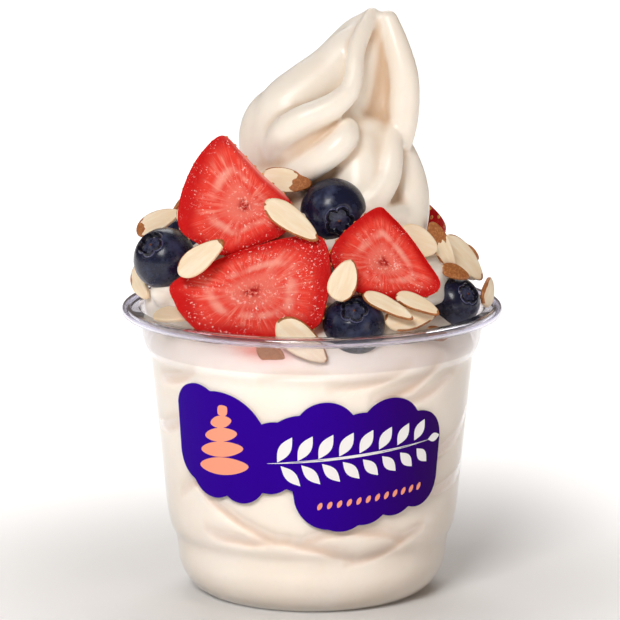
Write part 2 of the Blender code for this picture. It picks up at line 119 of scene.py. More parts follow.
class Shader:
    """A material with one Principled shader, whose nodes are added through one method."""

    def __init__(self, name: str) -> None:
        """Makes an empty material.

        Args:
            name: The material's name.
        """
        self.material = bpy.data.materials.new(name)
        self.material.use_nodes = True
        self.tree = self.material.node_tree
        self.tree.nodes.clear()
        self.output = self.tree.nodes.new("ShaderNodeOutputMaterial")

    def node(
        self,
        kind: str,
        settings: dict[str, object] | None = None,
        sockets: dict[int | str, object] | None = None,
        output: int | str = 0,
    ) -> Value:
        """Adds a node.

        Args:
            kind: The node's type.
            settings: Its properties, set first.
            sockets: Values or links for its inputs, by name or number.
            output: The output that is returned.

        Returns:
            The chosen output.
        """
        made = self.tree.nodes.new(kind)
        for key, value in (settings or {}).items():
            setattr(made, key, value)
        for key, value in (sockets or {}).items():
            if isinstance(value, Value):
                self.tree.links.new(value.socket, made.inputs[key])
            elif isinstance(value, tuple) and made.inputs[key].type == "RGBA":
                made.inputs[key].default_value = (*value, 1.0)
            else:
                made.inputs[key].default_value = value
        return Value(self, made.outputs[output])

    def attribute(self, name: str, output: str = "Fac") -> Value:
        """Reads one of the piece's own attributes."""
        return self.node("ShaderNodeAttribute", {"attribute_name": name}, output=output)

    def place(self) -> Value:
        """The point's place in the piece's own space."""
        return self.node("ShaderNodeTexCoord", output="Object")

    def cloud(self, vector: Value, scale: float, detail: float = 2.0, roughness: float = 0.5) -> Value:
        """Soft noise.

        Args:
            vector: Where it is read.
            scale: Features per unit.
            detail: Octaves.
            roughness: Strength of the finer octaves.

        Returns:
            Noise from 0 to 1.
        """
        sockets = {"Vector": vector, "Scale": scale, "Detail": detail, "Roughness": roughness}
        return self.node("ShaderNodeTexNoise", sockets=sockets)

    def stretched(self, vector: Value, scale: Sequence[float]) -> Value:
        """A vector with each part scaled."""
        return self.node("ShaderNodeVectorMath", {"operation": "MULTIPLY"}, {0: vector, 1: tuple(scale)})

    def split(self, vector: Value, part: int) -> Value:
        """One part of a vector."""
        return self.node("ShaderNodeSeparateXYZ", sockets={0: vector}, output=part)

    def blend(self, low: "Value | Colour", high: "Value | Colour", share: "Value | float") -> Value:
        """Mixes two colours.

        Args:
            low: The colour where share is 0.
            high: The colour where share is 1.
            share: How much of high.

        Returns:
            The mixed colour.
        """
        return self.node("ShaderNodeMix", {"data_type": "RGBA"}, {0: share, 6: low, 7: high}, output=2)

    def bump(self, height: Value, strength: float, distance: float) -> Value:
        """A bumped normal; distance is in millimetres."""
        sockets = {"Height": height, "Strength": strength, "Distance": distance * MM}
        return self.node("ShaderNodeBump", sockets=sockets)

    def principled(self, sockets: dict[int | str, object]) -> Value:
        """The Principled shader with these inputs."""
        settings = {"subsurface_method": "RANDOM_WALK"}
        return self.node("ShaderNodeBsdfPrincipled", settings, sockets, output="BSDF")

    def finish(self, surface: Value) -> bpy.types.Material:
        """Connects a shader to the output, and gives back the finished material."""
        self.tree.links.new(surface.socket, self.output.inputs["Surface"])
        return self.material


# ---------------------------------------------------------------- finishes


@dataclass(frozen=True)
class ClearPlastic:
    """Clear polished sheet with a faint cool tint, which lets light through to the yogurt."""

    wall: Colour = (0.95, 0.94, 0.955)
    # Painted shade: the darker tint of the neck band under the rim.
    neck: Colour = (0.75, 0.715, 0.725)
    rim: Colour = (0.84, 0.83, 0.93)
    shade: Colour = (0.97, 0.98, 1.0)
    roughness: float = 0.02
    index: float = 1.5

    def make(self) -> bpy.types.Material:
        """Builds the material: band is 0 on the wall, 1 on the neck and 2 on the rim; the neck's darker tint
        is painted shade under the rim.

        Returns:
            The material.
        """
        s = Shader("clear_sheet")
        band = s.attribute("band")
        # Painted shade: the neck band is tinted darker under the rim.
        colour = s.blend(self.wall, self.neck, band.rise(0.3, 0.7))
        colour = s.blend(colour, self.rim, band.rise(1.3, 1.7))
        sheet = s.principled(
            {
                "Base Color": colour,
                "Roughness": self.roughness,
                "IOR": self.index,
                "Transmission Weight": 1.0,
                "Specular IOR Level": 0.5,
            }
        )
        through = s.node("ShaderNodeBsdfTransparent", sockets={"Color": self.shade})
        shadow = s.node("ShaderNodeLightPath", output="Is Shadow Ray")
        return s.finish(s.node("ShaderNodeMixShader", sockets={0: shadow, 1: sheet, 2: through}))


@dataclass(frozen=True)
class Cream:
    """Soft-served yogurt: warm white with a wet satin skin, painted tan shade in its hollows and creases,
    pink beside the fruit.
    """

    colour: Colour = (0.91, 0.83, 0.73)
    paler: Colour = (0.94, 0.87, 0.785)
    # Painted shade: the tan laid where shade falls in the swirl's hollows and the wall's creases.
    fold: Colour = (0.64, 0.45, 0.30)
    # Juice stain beside the fruit; below the rim the same pink is partly a painted reflection of the fruit.
    juice: Colour = (0.86, 0.30, 0.22)
    depth: float = 2.2
    filling_top: tuple[float, float] = (0.073, 0.068)

    def make(self) -> bpy.types.Material:
        """Builds the material.

        Returns:
            The material.
        """
        s = Shader("cream")
        place = s.place()
        mottle = s.cloud(place, 60.0, 3.0)
        colour = s.blend(self.colour, self.paler, mottle.rise(0.35, 0.7))
        # Painted shade: hollows and creases are tinted tan by their marks.
        colour = s.blend(colour, self.fold, s.attribute("fold").clamped() * 0.95)
        stain = s.attribute("juice") * (s.cloud(place, 350.0, 2.0) * 0.8 + 0.5)
        colour = s.blend(colour, self.juice, (stain * 0.8).clamped())
        grain = s.cloud(s.stretched(place, (1.0, 1.0, 0.45)), 420.0, 3.0, 0.6)
        skin = s.cloud(place, 140.0, 2.0)
        under_rim = s.split(place, 2).rise(*self.filling_top)
        return s.finish(
            s.principled(
                {
                    "Base Color": colour,
                    "Roughness": skin * 0.16 + 0.27 + under_rim * 0.2,
                    "Subsurface Weight": 0.18,
                    "Subsurface Radius": (1.0, 0.75, 0.5),
                    "Subsurface Scale": self.depth * MM,
                    "Coat Weight": s.cloud(place, 620.0, 2.0).rise(0.60, 0.68) * 0.35,
                    "Coat Roughness": 0.12,
                    "Normal": s.bump(grain, 0.16, 0.25),
                }
            )
        )


@dataclass(frozen=True)
class StrawberryFlesh:
    """A cut strawberry: red skin, a deep red margin, pale streaks running in to a pink core, wet all over,
    with painted glints.
    """

    skin: Colour = (0.48, 0.004, 0.005)
    margin: Colour = (0.58, 0.006, 0.005)
    flesh: Colour = (0.79, 0.048, 0.029)
    streak: Colour = (0.95, 0.32, 0.235)
    ring: Colour = (0.94, 0.42, 0.33)
    core: Colour = (0.89, 0.21, 0.155)
    fleck: Colour = (0.95, 0.50, 0.42)
    heart: Colour = (0.45, 0.008, 0.008)
    # Painted highlight: the near-white specks of wet sparkle.
    painted_glint: Colour = (1.0, 0.80, 0.74)
    facet: Colour = (0.93, 0.36, 0.30)

    def make(self) -> bpy.types.Material:
        """Builds the material.

        Returns:
            The material.
        """
        s = Shader("strawberry_flesh")
        span = s.attribute("span")
        own = s.attribute("own", "Vector")
        around = s.attribute("around", "Vector")
        rays = s.cloud(s.stretched(around, (9.0, 9.0, 1.6)), 1.0, 3.0, 0.6)
        hairs = s.cloud(s.stretched(around, (26.0, 26.0, 2.2)), 1.0, 2.0, 0.6)
        blotch = s.cloud(own, 0.16, 3.0, 0.55)
        colour = self.streaked(s, span, own, rays, hairs)
        colour = self.cored(s, colour, span, own, blotch)
        edge = span + (rays - 0.5) * 0.24 + (s.cloud(own, 0.06, 1.0) - 0.5) * 0.45
        colour = s.blend(colour, self.margin, edge.rise(0.68, 0.94))
        colour = s.blend(colour, self.skin, span.rise(0.985, 1.01))
        # Painted highlights: small pale specks, in clumps, on the cut face.
        painted_glints = s.cloud(own, 1.7, 3.0, 0.7).rise(0.60, 0.67) * s.cloud(own, 0.14, 2.0).rise(0.42, 0.60)
        colour = s.blend(colour, self.painted_glint, painted_glints * span.rise(0.99, 0.96) * 0.75)
        facet = s.attribute("facet").clamped() * span.rise(1.22, 1.10)
        colour = s.blend(colour, self.facet, facet * (blotch * 0.5 + 0.5))
        pits = s.node("ShaderNodeTexVoronoi", {"feature": "SMOOTH_F1"}, {"Vector": own, "Scale": 0.62})
        wet = s.cloud(own, 1.5, 4.0, 0.7) * 0.7 + hairs * 0.5 + pits * 0.6
        return s.finish(
            s.principled(
                {
                    "Base Color": colour,
                    "Roughness": s.cloud(own, 0.9, 2.0) * 0.2 + 0.28,
                    "Specular IOR Level": 0.1,
                    "Subsurface Weight": 0.18,
                    "Subsurface Radius": (1.0, 0.25, 0.15),
                    "Subsurface Scale": 1.6 * MM,
                    "Coat Weight": s.cloud(own, 1.3, 3.0, 0.6).rise(0.60, 0.68) * 0.75,
                    "Coat Roughness": 0.06,
                    "Normal": s.bump(wet, 0.7, 0.5),
                }
            )
        )

    def streaked(self, s: Shader, span: Value, own: Value, rays: Value, hairs: Value) -> Value:
        """The flesh with pale streaks across its middle width.

        Args:
            s: The shader.
            span: 0 at the heart, 1 at the cut's edge, more on the skin.
            own: The point's place in the slice.
            rays: Broad noise drawn out towards the edge.
            hairs: Fine noise drawn out towards the edge.

        Returns:
            The colour.
        """
        body = span.rise(0.98, 0.70) * span.rise(0.18, 0.42)
        streaks = (rays.rise(0.48, 0.68) * 0.7 + hairs.rise(0.50, 0.72) * 0.5).clamped()
        patchy = s.cloud(own, 0.09, 1.0) * 1.6 - 0.1
        return s.blend(self.flesh, self.streak, (streaks * body * patchy).clamped())

    def cored(self, s: Shader, colour: Value, span: Value, own: Value, blotch: Value) -> Value:
        """Adds the pale ring, the pink core with its flecks, and the dark heart.

        Args:
            s: The shader.
            colour: The colour of the flesh.
            span: 0 at the heart, 1 at the cut's edge.
            own: The point's place in the slice.
            blotch: Broad noise.

        Returns:
            The colour.
        """
        ring = span.rise(0.40, 0.50) * span.rise(0.64, 0.52)
        colour = s.blend(colour, self.ring, ring * blotch.rise(0.34, 0.66) * 0.7)
        colour = s.blend(colour, self.core, span.rise(0.46, 0.22) * (blotch * 0.6 + 0.45))
        specks = s.cloud(own, 1.1, 3.0, 0.65)
        colour = s.blend(colour, self.fleck, span.rise(0.42, 0.20) * specks.rise(0.54, 0.68) * 0.7)
        return s.blend(colour, self.heart, span.rise(0.16, 0.04) * specks.rise(0.60, 0.44))


@dataclass(frozen=True)
class Seed:
    """A strawberry's seed: dry and straw-coloured."""

    colour: Colour = (0.80, 0.42, 0.10)
    darker: Colour = (0.55, 0.12, 0.03)

    def make(self) -> bpy.types.Material:
        """Builds the material.

        Returns:
            The material.
        """
        s = Shader("seed")
        tone = s.cloud(s.place(), 900.0, 2.0)
        colour = s.blend(self.colour, self.darker, tone.rise(0.4, 0.7))
        return s.finish(s.principled({"Base Color": colour, "Roughness": tone * 0.2 + 0.3}))


@dataclass(frozen=True)
class BerrySkin:
    """Blueberry skin: near-black blue under patches of pale bloom, dark in the crown, brown at its middle."""

    skin: Colour = (0.007, 0.009, 0.030)
    bloom: Colour = (0.041, 0.053, 0.116)
    frill: Colour = (0.10, 0.10, 0.20)
    ditch: Colour = (0.004, 0.004, 0.012)
    floor: Colour = (0.045, 0.050, 0.10)
    scar: Colour = (0.16, 0.050, 0.020)

    def make(self) -> bpy.types.Material:
        """Builds the material: crown runs from 0 outside the crown, through 1 at its lip, to 2 at its middle.

        Returns:
            The material.
        """
        s = Shader("berry_skin")
        own = s.attribute("own", "Vector")
        crown = s.attribute("crown")
        patches = s.cloud(own, 0.20, 4.0, 0.62)
        fine = s.cloud(own, 0.9, 3.0, 0.6)
        bloom = (patches * 0.75 + fine * 0.25).rise(0.46, 0.70)
        colour = s.blend(self.skin, self.bloom, bloom * 0.85)
        colour = s.blend(colour, self.frill, crown.rise(0.55, 0.75) * crown.rise(0.98, 0.85) * 0.8)
        colour = s.blend(colour, self.ditch, crown.rise(0.93, 0.99) * crown.rise(1.55, 1.45))
        colour = s.blend(colour, self.floor, crown.rise(1.45, 1.6) * fine.rise(0.3, 0.6))
        colour = s.blend(colour, self.scar, crown.rise(1.78, 1.90))
        return s.finish(
            s.principled(
                {
                    "Base Color": colour,
                    "Roughness": bloom * 0.22 + 0.26,
                    "Specular IOR Level": 0.3,
                    "Coat Weight": 0.2,
                    "Coat Roughness": 0.16,
                    "Normal": s.bump(fine, 0.22, 0.2),
                }
            )
        )


@dataclass(frozen=True)
class AlmondFlesh:
    """A flaked almond: cream-coloured and faintly streaked, with torn brown skin on part of its edge."""

    flesh: Colour = (0.89, 0.71, 0.49)
    paler: Colour = (0.94, 0.81, 0.62)
    edge: Colour = (0.80, 0.52, 0.24)
    skin: Colour = (0.33, 0.10, 0.022)
    skin_lit: Colour = (0.52, 0.21, 0.06)

    def make(self) -> bpy.types.Material:
        """Builds the material.

        Returns:
            The material.
        """
        s = Shader("almond_flesh")
        own = s.attribute("own", "Vector")
        tear = s.cloud(own, 0.75, 3.0, 0.6)
        streak = s.cloud(s.stretched(own, (0.12, 0.8, 0.5)), 1.0, 3.0, 0.6)
        colour = s.blend(self.flesh, self.paler, streak.rise(0.35, 0.7))
        colour = s.blend(colour, self.edge, s.attribute("span").rise(0.88, 1.0) * 0.3)
        peel = (s.attribute("peel") + (tear - 0.5) * 0.55).rise(0.46, 0.56)
        brown = s.blend(self.skin, self.skin_lit, s.cloud(own, 1.6, 3.0, 0.7).rise(0.4, 0.7))
        colour = s.blend(colour, brown, peel)
        return s.finish(
            s.principled(
                {
                    "Base Color": colour,
                    "Roughness": peel * 0.15 + 0.42,
                    "Subsurface Weight": 0.12,
                    "Subsurface Radius": (1.0, 0.6, 0.3),
                    "Subsurface Scale": 0.8 * MM,
                    "Normal": s.bump(streak * 0.5 + tear * peel * 1.5, 0.35, 0.25),
                }
            )
        )


@dataclass(frozen=True)
class Ink:
    """A printed field on satin film, whose colour deepens towards its right end: partly the print's own
    gradient, partly painted shade.
    """

    name: str
    colour: Colour
    # The right end's colour: deeper print together with painted shade.
    deeper_and_shaded: Colour
    specular: float = 0.02
    fade: tuple[float, float] = (-0.004, 0.040)

    def make(self) -> bpy.types.Material:
        """Builds the material.

        Returns:
            The material.
        """
        s = Shader(self.name)
        # Darker towards the right end: partly the print's gradient, partly painted shade.
        tone = s.split(s.place(), 0).rise(*self.fade) + s.cloud(s.place(), 220.0, 3.0, 0.6) * 0.12
        film = s.cloud(s.place(), 2600.0, 2.0)
        return s.finish(
            s.principled(
                {
                    "Base Color": s.blend(self.colour, self.deeper_and_shaded, tone.clamped()),
                    "Roughness": film * 0.12 + 0.38,
                    "Specular IOR Level": self.specular,
                    "Normal": s.bump(film, 0.05, 0.05),
                }
            )
        )


VIOLET = Ink("ink_violet", (0.030, 0.0004, 0.310), (0.026, 0.0004, 0.100))
CORAL = Ink("ink_coral", (1.0, 0.37, 0.24), (0.97, 0.34, 0.21))
IVORY = Ink("ink_ivory", (0.92, 0.90, 0.90), (0.87, 0.85, 0.86))


# ---------------------------------------------------------------- shaping helpers


def flowing(points: Sequence[Vector], per_span: int, closed: bool = False) -> list[Vector]:
    """Points on a smooth curve through the given ones.

    Args:
        points: The points that it passes through.
        per_span: Points made for each span.
        closed: Whether it returns to its start.

    Returns:
        The curve's points.
    """
    count = len(points)
    if closed:
        ends = [points[-1], *points, points[0], points[1]]
    else:
        ends = [points[0] * 2 - points[1], *points, points[-1] * 2 - points[-2]]
    found = []
    for i in range(count if closed else count - 1):
        a, b, c, d = ends[i : i + 4]
        square, cube = 2 * a - 5 * b + 4 * c - d, 3 * b - a - 3 * c + d
        for k in range(per_span):
            t = k / per_span
            found.append(0.5 * (2 * b + (c - a) * t + square * t * t + cube * t**3))
    return found if closed else [*found, points[-1].copy()]


def eased(low: float, high: float, x: float) -> float:
    """A smooth step from 0 at low to 1 at high."""
    share = min(1.0, max(0.0, (x - low) / (high - low)))
    return share * share * (3 - 2 * share)


def wire(
    shape: bmesh.types.BMesh, points: Sequence[Vector], closed: bool = False
) -> list[bmesh.types.BMEdge]:
    """Lays edges through points.

    Args:
        shape: The bmesh that they join.
        points: The points in order.
        closed: Whether the last joins the first.

    Returns:
        The edges in order.
    """
    verts = [shape.verts.new(point) for point in points]
    pairs = list(zip(verts, verts[1:])) + ([(verts[-1], verts[0])] if closed else [])
    return [shape.edges.new(pair) for pair in pairs]


def pulled(
    shape: bmesh.types.BMesh, edges: Sequence[bmesh.types.BMEdge], move: Matrix
) -> tuple[list[bmesh.types.BMEdge], list[bmesh.types.BMVert]]:
    """Extrudes edges and moves what was extruded.

    Args:
        shape: The bmesh.
        edges: The edges to extrude.
        move: The transform given to the new edges.

    Returns:
        The new edges and their vertices.
    """
    made = bmesh.ops.extrude_edge_only(shape, edges=list(edges))["geom"]
    verts = [g for g in made if isinstance(g, bmesh.types.BMVert)]
    fresh = [g for g in made if isinstance(g, bmesh.types.BMEdge)]
    bmesh.ops.transform(shape, matrix=move, verts=verts)
    return [e for e in fresh if len(e.link_faces) == 1], verts


def about(middle: Vector, scale: float, shift: Vector) -> Matrix:
    """A transform that scales about a middle in X and Y and then shifts."""
    shrink = Matrix.Diagonal((scale, scale, 1.0, 1.0))
    return Matrix.Translation(middle + shift) @ shrink @ Matrix.Translation(-middle)


def full_turn(shape: bmesh.types.BMesh, steps: int) -> None:
    """Spins all of a profile about Z into a closed surface.

    Args:
        shape: The bmesh, which holds only the profile.
        steps: Faces in the full turn.
    """
    bmesh.ops.spin(
        shape,
        geom=shape.verts[:] + shape.edges[:],
        axis=(0, 0, 1),
        cent=(0, 0, 0),
        steps=steps,
        angle=math.tau,
        use_merge=True,
    )
    bmesh.ops.remove_doubles(shape, verts=shape.verts, dist=1e-4)
    bmesh.ops.recalc_face_normals(shape, faces=shape.faces)


def piece_from(
    shape: bmesh.types.BMesh,
    name: str,
    finish: bpy.types.Material,
    stands_for: Sequence[str] = (),
    crease: float = 50.0,
) -> bpy.types.Object:
    """Turns a bmesh in millimetres into a finished piece in metres.

    Args:
        shape: The bmesh, which is freed.
        name: The piece's name.
        finish: Its material.
        stands_for: CAD nodes that it replaces.
        crease: Angle in degrees over which an edge stays sharp.

    Returns:
        The object, riding on the cup's body.
    """
    bmesh.ops.scale(shape, vec=Vector((MM, MM, MM)), verts=shape.verts)
    mesh = bpy.data.meshes.new(name)
    shape.to_mesh(mesh)
    shape.free()
    mesh.shade_smooth()
    mesh.set_sharp_from_angle(angle=math.radians(crease))
    mesh.materials.append(finish)
    made = bpy.data.objects.new(name, mesh)
    bpy.context.scene.collection.objects.link(made)
    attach(made, BODY)
    if stands_for:
        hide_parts(*stands_for)
    return made


def face_out(shape: bmesh.types.BMesh) -> None:
    """Makes every face of a closed shape point outwards.

    Args:
        shape: The bmesh.
    """
    bmesh.ops.recalc_face_normals(shape, faces=shape.faces)
    if shape.calc_volume(signed=True) < 0:
        bmesh.ops.reverse_faces(shape, faces=shape.faces)


@dataclass(frozen=True)
class Place:
    """Where a topping sits: its centre, the way it faces, its roll in that plane and a last turn about Z."""

    x: float
    y: float
    z: float
    azimuth: float
    tilt: float
    roll: float = 0.0
    around: float = 0.0

    def matrix(self) -> Matrix:
        """Works out the transform from the topping's own axes: it faces +Z and its length is on X.

        Returns:
            The transform into the cup's space.
        """
        side, rise = math.radians(self.azimuth), math.radians(self.tilt)
        level = math.cos(rise)
        facing = Vector((math.sin(side) * level, -math.cos(side) * level, math.sin(rise)))
        right = Vector((math.cos(side), math.sin(side), 0.0))
        length = Quaternion(facing, math.radians(self.roll)) @ right
        turn = Matrix((length, facing.cross(length), facing)).transposed().to_4x4()
        swing = Matrix.Rotation(math.radians(self.around), 4, "Z")
        return swing @ Matrix.Translation((self.x, self.y, self.z)) @ turn


# ---------------------------------------------------------------- cup


@dataclass
class Cup:
    """The clear cup: one formed sheet from the flat base to the rolled rim."""

    sheet: float = 0.6
    height: float = 75.0
    rim: float = 49.0
    curl: float = 1.35
    curl_turn: float = 285.0
    flange_drop: float = 0.7
    base: float = 25.9
    heel: tuple[float, float] = (8.6, 11.2)
    foot_top: tuple[float, float] = (35.1, 15.4)
    ledge: tuple[float, float] = (36.35, 17.3)
    waist: tuple[float, float] = (37.2, 21.5)
    body_top: tuple[float, float] = (41.2, 61.8)
    shoulder: tuple[float, float] = (42.95, 65.0)
    neck: tuple[float, float] = (43.6, 68.5)
    throat: tuple[float, float] = (44.05, 73.2)
    corner_cut: float = 1.3
    heel_steps: int = 12
    corner_steps: int = 4
    curl_steps: int = 21
    sides: int = 144
    finish: ClearPlastic = field(default_factory=ClearPlastic)

    def wall_line(self) -> list[Vector]:
        """Draws the sheet's middle from the axis out to the throat, with its corners rounded.

        Returns:
            The line's points, in the plane of X and Z.
        """
        half = self.sheet / 2
        heel = []
        for i in range(self.heel_steps + 1):
            turn = math.radians(-90 + 90 * i / self.heel_steps)
            out, up = math.cos(turn), 1 + math.sin(turn)
            heel.append((self.base + self.heel[0] * out, half + self.heel[1] * up))
        corners = [self.foot_top, self.ledge, self.waist, self.body_top]
        corners += [self.shoulder, self.neck, self.throat]
        points = [(0.0, half), (self.base * 0.5, half), *heel]
        return [Vector((r, 0.0, z)) for r, z in points] + self.rounded([heel[-1], *corners])

    def rounded(self, corners: Sequence[tuple[float, float]]) -> list[Vector]:
        """Draws the line through corners, with each corner turned into a short curve.

        Args:
            corners: (radius, height) of each corner.

        Returns:
            The line's points, in the plane of X and Z.
        """
        points = [Vector((r, 0.0, z)) for r, z in corners]
        line = []
        for before, corner, after in zip(points, points[1:], points[2:]):
            cut_in = corner.lerp(before, min(0.45, self.corner_cut / (corner - before).length))
            cut_out = corner.lerp(after, min(0.45, self.corner_cut / (corner - after).length))
            for k in range(self.corner_steps + 1):
                t = k / self.corner_steps
                line.append(cut_in.lerp(corner, t).lerp(corner.lerp(cut_out, t), t))
        return [*line, points[-1]]

    def rim_line(self) -> list[Vector]:
        """Draws the sheet's middle over the flange and round the rim's curl.

        Returns:
            The line's points, in the plane of X and Z.
        """
        curl = self.curl - self.sheet / 2
        centre = (self.rim - self.curl, self.height - self.curl)
        flange = self.height - self.flange_drop
        meets = 180.0 - math.degrees(math.asin((flange - centre[1]) / curl))
        line = [Vector((self.throat[0] + 0.15, 0, flange - 0.5)), Vector((self.throat[0] + 0.75, 0, flange))]
        for i in range(self.curl_steps + 1):
            turn = math.radians(meets - self.curl_turn * i / self.curl_steps)
            line.append(Vector((centre[0] + curl * math.cos(turn), 0, centre[1] + curl * math.sin(turn))))
        return line

    def inside(self, height: float) -> float:
        """Finds the radius of the sheet's inner face.

        Args:
            height: The height.

        Returns:
            The radius there.
        """
        line = self.wall_line()
        for low, high in zip(line, line[1:]):
            if low.z <= height < high.z:
                return low.x + (high.x - low.x) * (height - low.z) / (high.z - low.z) - self.sheet / 2
        return self.throat[0] - self.sheet / 2 if height >= self.throat[1] else self.base * 0.5

    def outside(self, height: float) -> float:
        """The radius of the sheet's outer face on the straight part of the wall."""
        share = (height - self.waist[1]) / (self.body_top[1] - self.waist[1])
        return self.waist[0] + (self.body_top[0] - self.waist[0]) * share + self.sheet / 2

    def build(self) -> bpy.types.Object:
        """Makes the cup.

        Returns:
            The finished piece.
        """
        shape = bmesh.new()
        wire(shape, self.wall_line() + self.rim_line())
        full_turn(shape, self.sides)
        band = shape.verts.layers.float.new("band")
        for vert in shape.verts:
            vert[band] = 2.0 if vert.co.xy.length > self.throat[0] + 0.5 else eased(63.5, 66.0, vert.co.z)
        made = piece_from(shape, "clear_cup", self.finish.make(), ["cup"], crease=70)
        wall = made.modifiers.new("sheet", "SOLIDIFY")
        wall.thickness, wall.offset, wall.use_even_offset = self.sheet * MM, 0.0, True
        return made


# ---------------------------------------------------------------- yogurt

# Each ridge of the swirl as a strand through (x, y, z, radius).
RIDGES = {
    "core": ((0, 0, 66, 30), (0, 0, 80, 26), (1, 0, 93, 20), (2, 0, 106, 15), (5, -2, 116, 11.5),
             (4, -3, 122, 10), (8, -2.5, 129, 7.8), (12, -0.5, 137, 5.6), (15.5, 0, 144, 3.4),
             (16.2, -0.5, 148.5, 2.0)),  # fmt: skip
    "flank": ((14.6, 0.5, 148.4, 2.2), (12.3, 1.4, 145.4, 3.8), (9.7, 3, 141.9, 4.7), (4.6, 3, 135.2, 5.8),
              (-2.3, 1, 128.5, 6.4), (-10.2, -3, 123, 6.8), (-12.7, -6, 117, 6),
              (-10.2, -6, 111.5, 6)),  # fmt: skip
    "cheek": ((13.8, -0.5, 146, 2.8), (8.8, -1.8, 140.5, 5.2), (4.5, -3, 135, 6.6), (-1, -4.5, 130, 7.6),
              (-6.5, -6, 125.5, 7.6), (-10, -7, 119, 6.6)),  # fmt: skip
    "web": ((17.3, 0.7, 146, 2.7), (18.0, 1.3, 141, 3.8), (18.4, 1.7, 135, 5.0), (17.6, 1.5, 128, 6.0),
            (15, 0, 121, 6.5)),  # fmt: skip
    "fold": ((15.2, -1.2, 149.9, 1.6), (12.9, -6, 145.3, 2.2), (11.6, -8.5, 142.4, 2.3),
             (10.8, -11, 138.8, 2.4), (10.5, -13, 135.1, 2.5), (9.3, -14.5, 131.6, 2.8),
             (6.4, -15.6, 128.8, 3.2), (2.4, -16.3, 126.6, 3.5), (-2.3, -16.5, 124.6, 3.7),
             (-6.6, -15.5, 121.6, 3.7), (-8.9, -13.2, 118.2, 3.3), (-9.3, -11, 114.4, 3)),  # fmt: skip
    "under_fold": ((8.5, -7.5, 124.5, 4.5), (5, -9.8, 122.5, 5.5), (0, -11, 120, 5.8),
                   (-5, -10.5, 116, 5.5)),  # fmt: skip
    "fall": ((19.3, -1, 148, 2.6), (21.4, -3.0, 142, 3.2), (23.3, -4.8, 134.5, 3.7),
             (23.5, -5.4, 127.7, 3.9), (23.1, -6.2, 122, 3.7), (22.8, -6, 118.4, 3.2)),  # fmt: skip
    "second_left": ((9.2, -14.5, 122.0, 2.8), (8.6, -16.2, 120.4, 3.3), (6.8, -17.2, 118.3, 3.5),
                    (4.2, -17.4, 116.0, 3.6), (1.0, -16.6, 113.8, 3.7), (-3, -14.6, 111.4, 3.8),
                    (-8, -12.6, 108.0, 4.2), (-12.5, -13, 104.1, 5)),  # fmt: skip
    "left_dollop": ((-36.5, -7, 75.8, 6.2), (-33, -12, 76.3, 6.0), (-27, -15, 77, 7.0)),
    "second_mid": ((17, -8.2, 118, 3.4), (17, -10.6, 112.5, 4.4), (15.6, -12.8, 107, 4.8),
                   (13, -14, 102, 5)),  # fmt: skip
    "second_front": ((20.4, -7.5, 120.6, 2.3), (20.3, -9.8, 117.6, 2.8), (19.9, -12, 114.1, 3.2),
                     (19.2, -13.8, 110.1, 3.4), (17.4, -15.6, 106.6, 3.5), (14.8, -16.8, 103.6, 3.6),
                     (11, -17.2, 99.5, 3.8)),  # fmt: skip
    "second_right": ((21.5, -2, 118, 3), (23.2, -3, 111.5, 4.6), (24.4, -5, 105, 5.4), (23.8, -8, 98.5, 6),
                     (21, -13, 92, 7)),  # fmt: skip
    "apron": ((11, -8, 115.5, 7.2), (12, -9.8, 109, 8.0), (11, -11, 103, 9), (8, -10, 96, 11)),
    "shelf": ((-7, -6, 116, 6.5), (0, -7, 117.5, 7.5), (9, -6.5, 118, 7.6), (17, -4.5, 118, 5.6)),
    "left_bulge": ((-24, -4, 84, 9), (-32, -10, 81, 7.5), (-36.5, -14, 80.5, 4.6)),
}


@dataclass(frozen=True)
class Crease:
    """A fold pressed against the wall, along a sagging line from one (bearing, height) to another."""

    start: tuple[float, float]
    end: tuple[float, float]
    sag: float
    depth: float = 1.0
    width: float = 1.0


CREASES = (
    Crease((-52, 33), (-14, 20.5), -1.5, 1.0),
    Crease((-16, 20), (18, 14.5), 1.0, 0.9),
    Crease((-48, 21), (-8, 20.5), -1.8, 0.8),
    Crease((-4, 20.5), (40, 18.5), 2.6, 0.9),
    Crease((12, 13.5), (50, 22), -1.5, 0.9),
    Crease((-62, 28), (-34, 35), 1.5, 0.9),
    Crease((-44, 31), (-24, 33.5), 1.2, 0.7),
    Crease((4, 60), (38, 66), -2.0, 0.7),
    Crease((20, 57), (54, 66), -2.5, 1.0),
    Crease((28, 55.5), (62, 61), -2.0, 0.9),
    Crease((-70, 58), (-44, 63), -2.0, 1.0),
    Crease((-80, 45), (-52, 50), -2.5, 0.9),
    Crease((50, 40), (84, 50), -3.0, 1.0),
    Crease((48, 30), (90, 36), -2.5, 0.9),
    Crease((-20, 62), (6, 64), 1.0, 0.5),
)


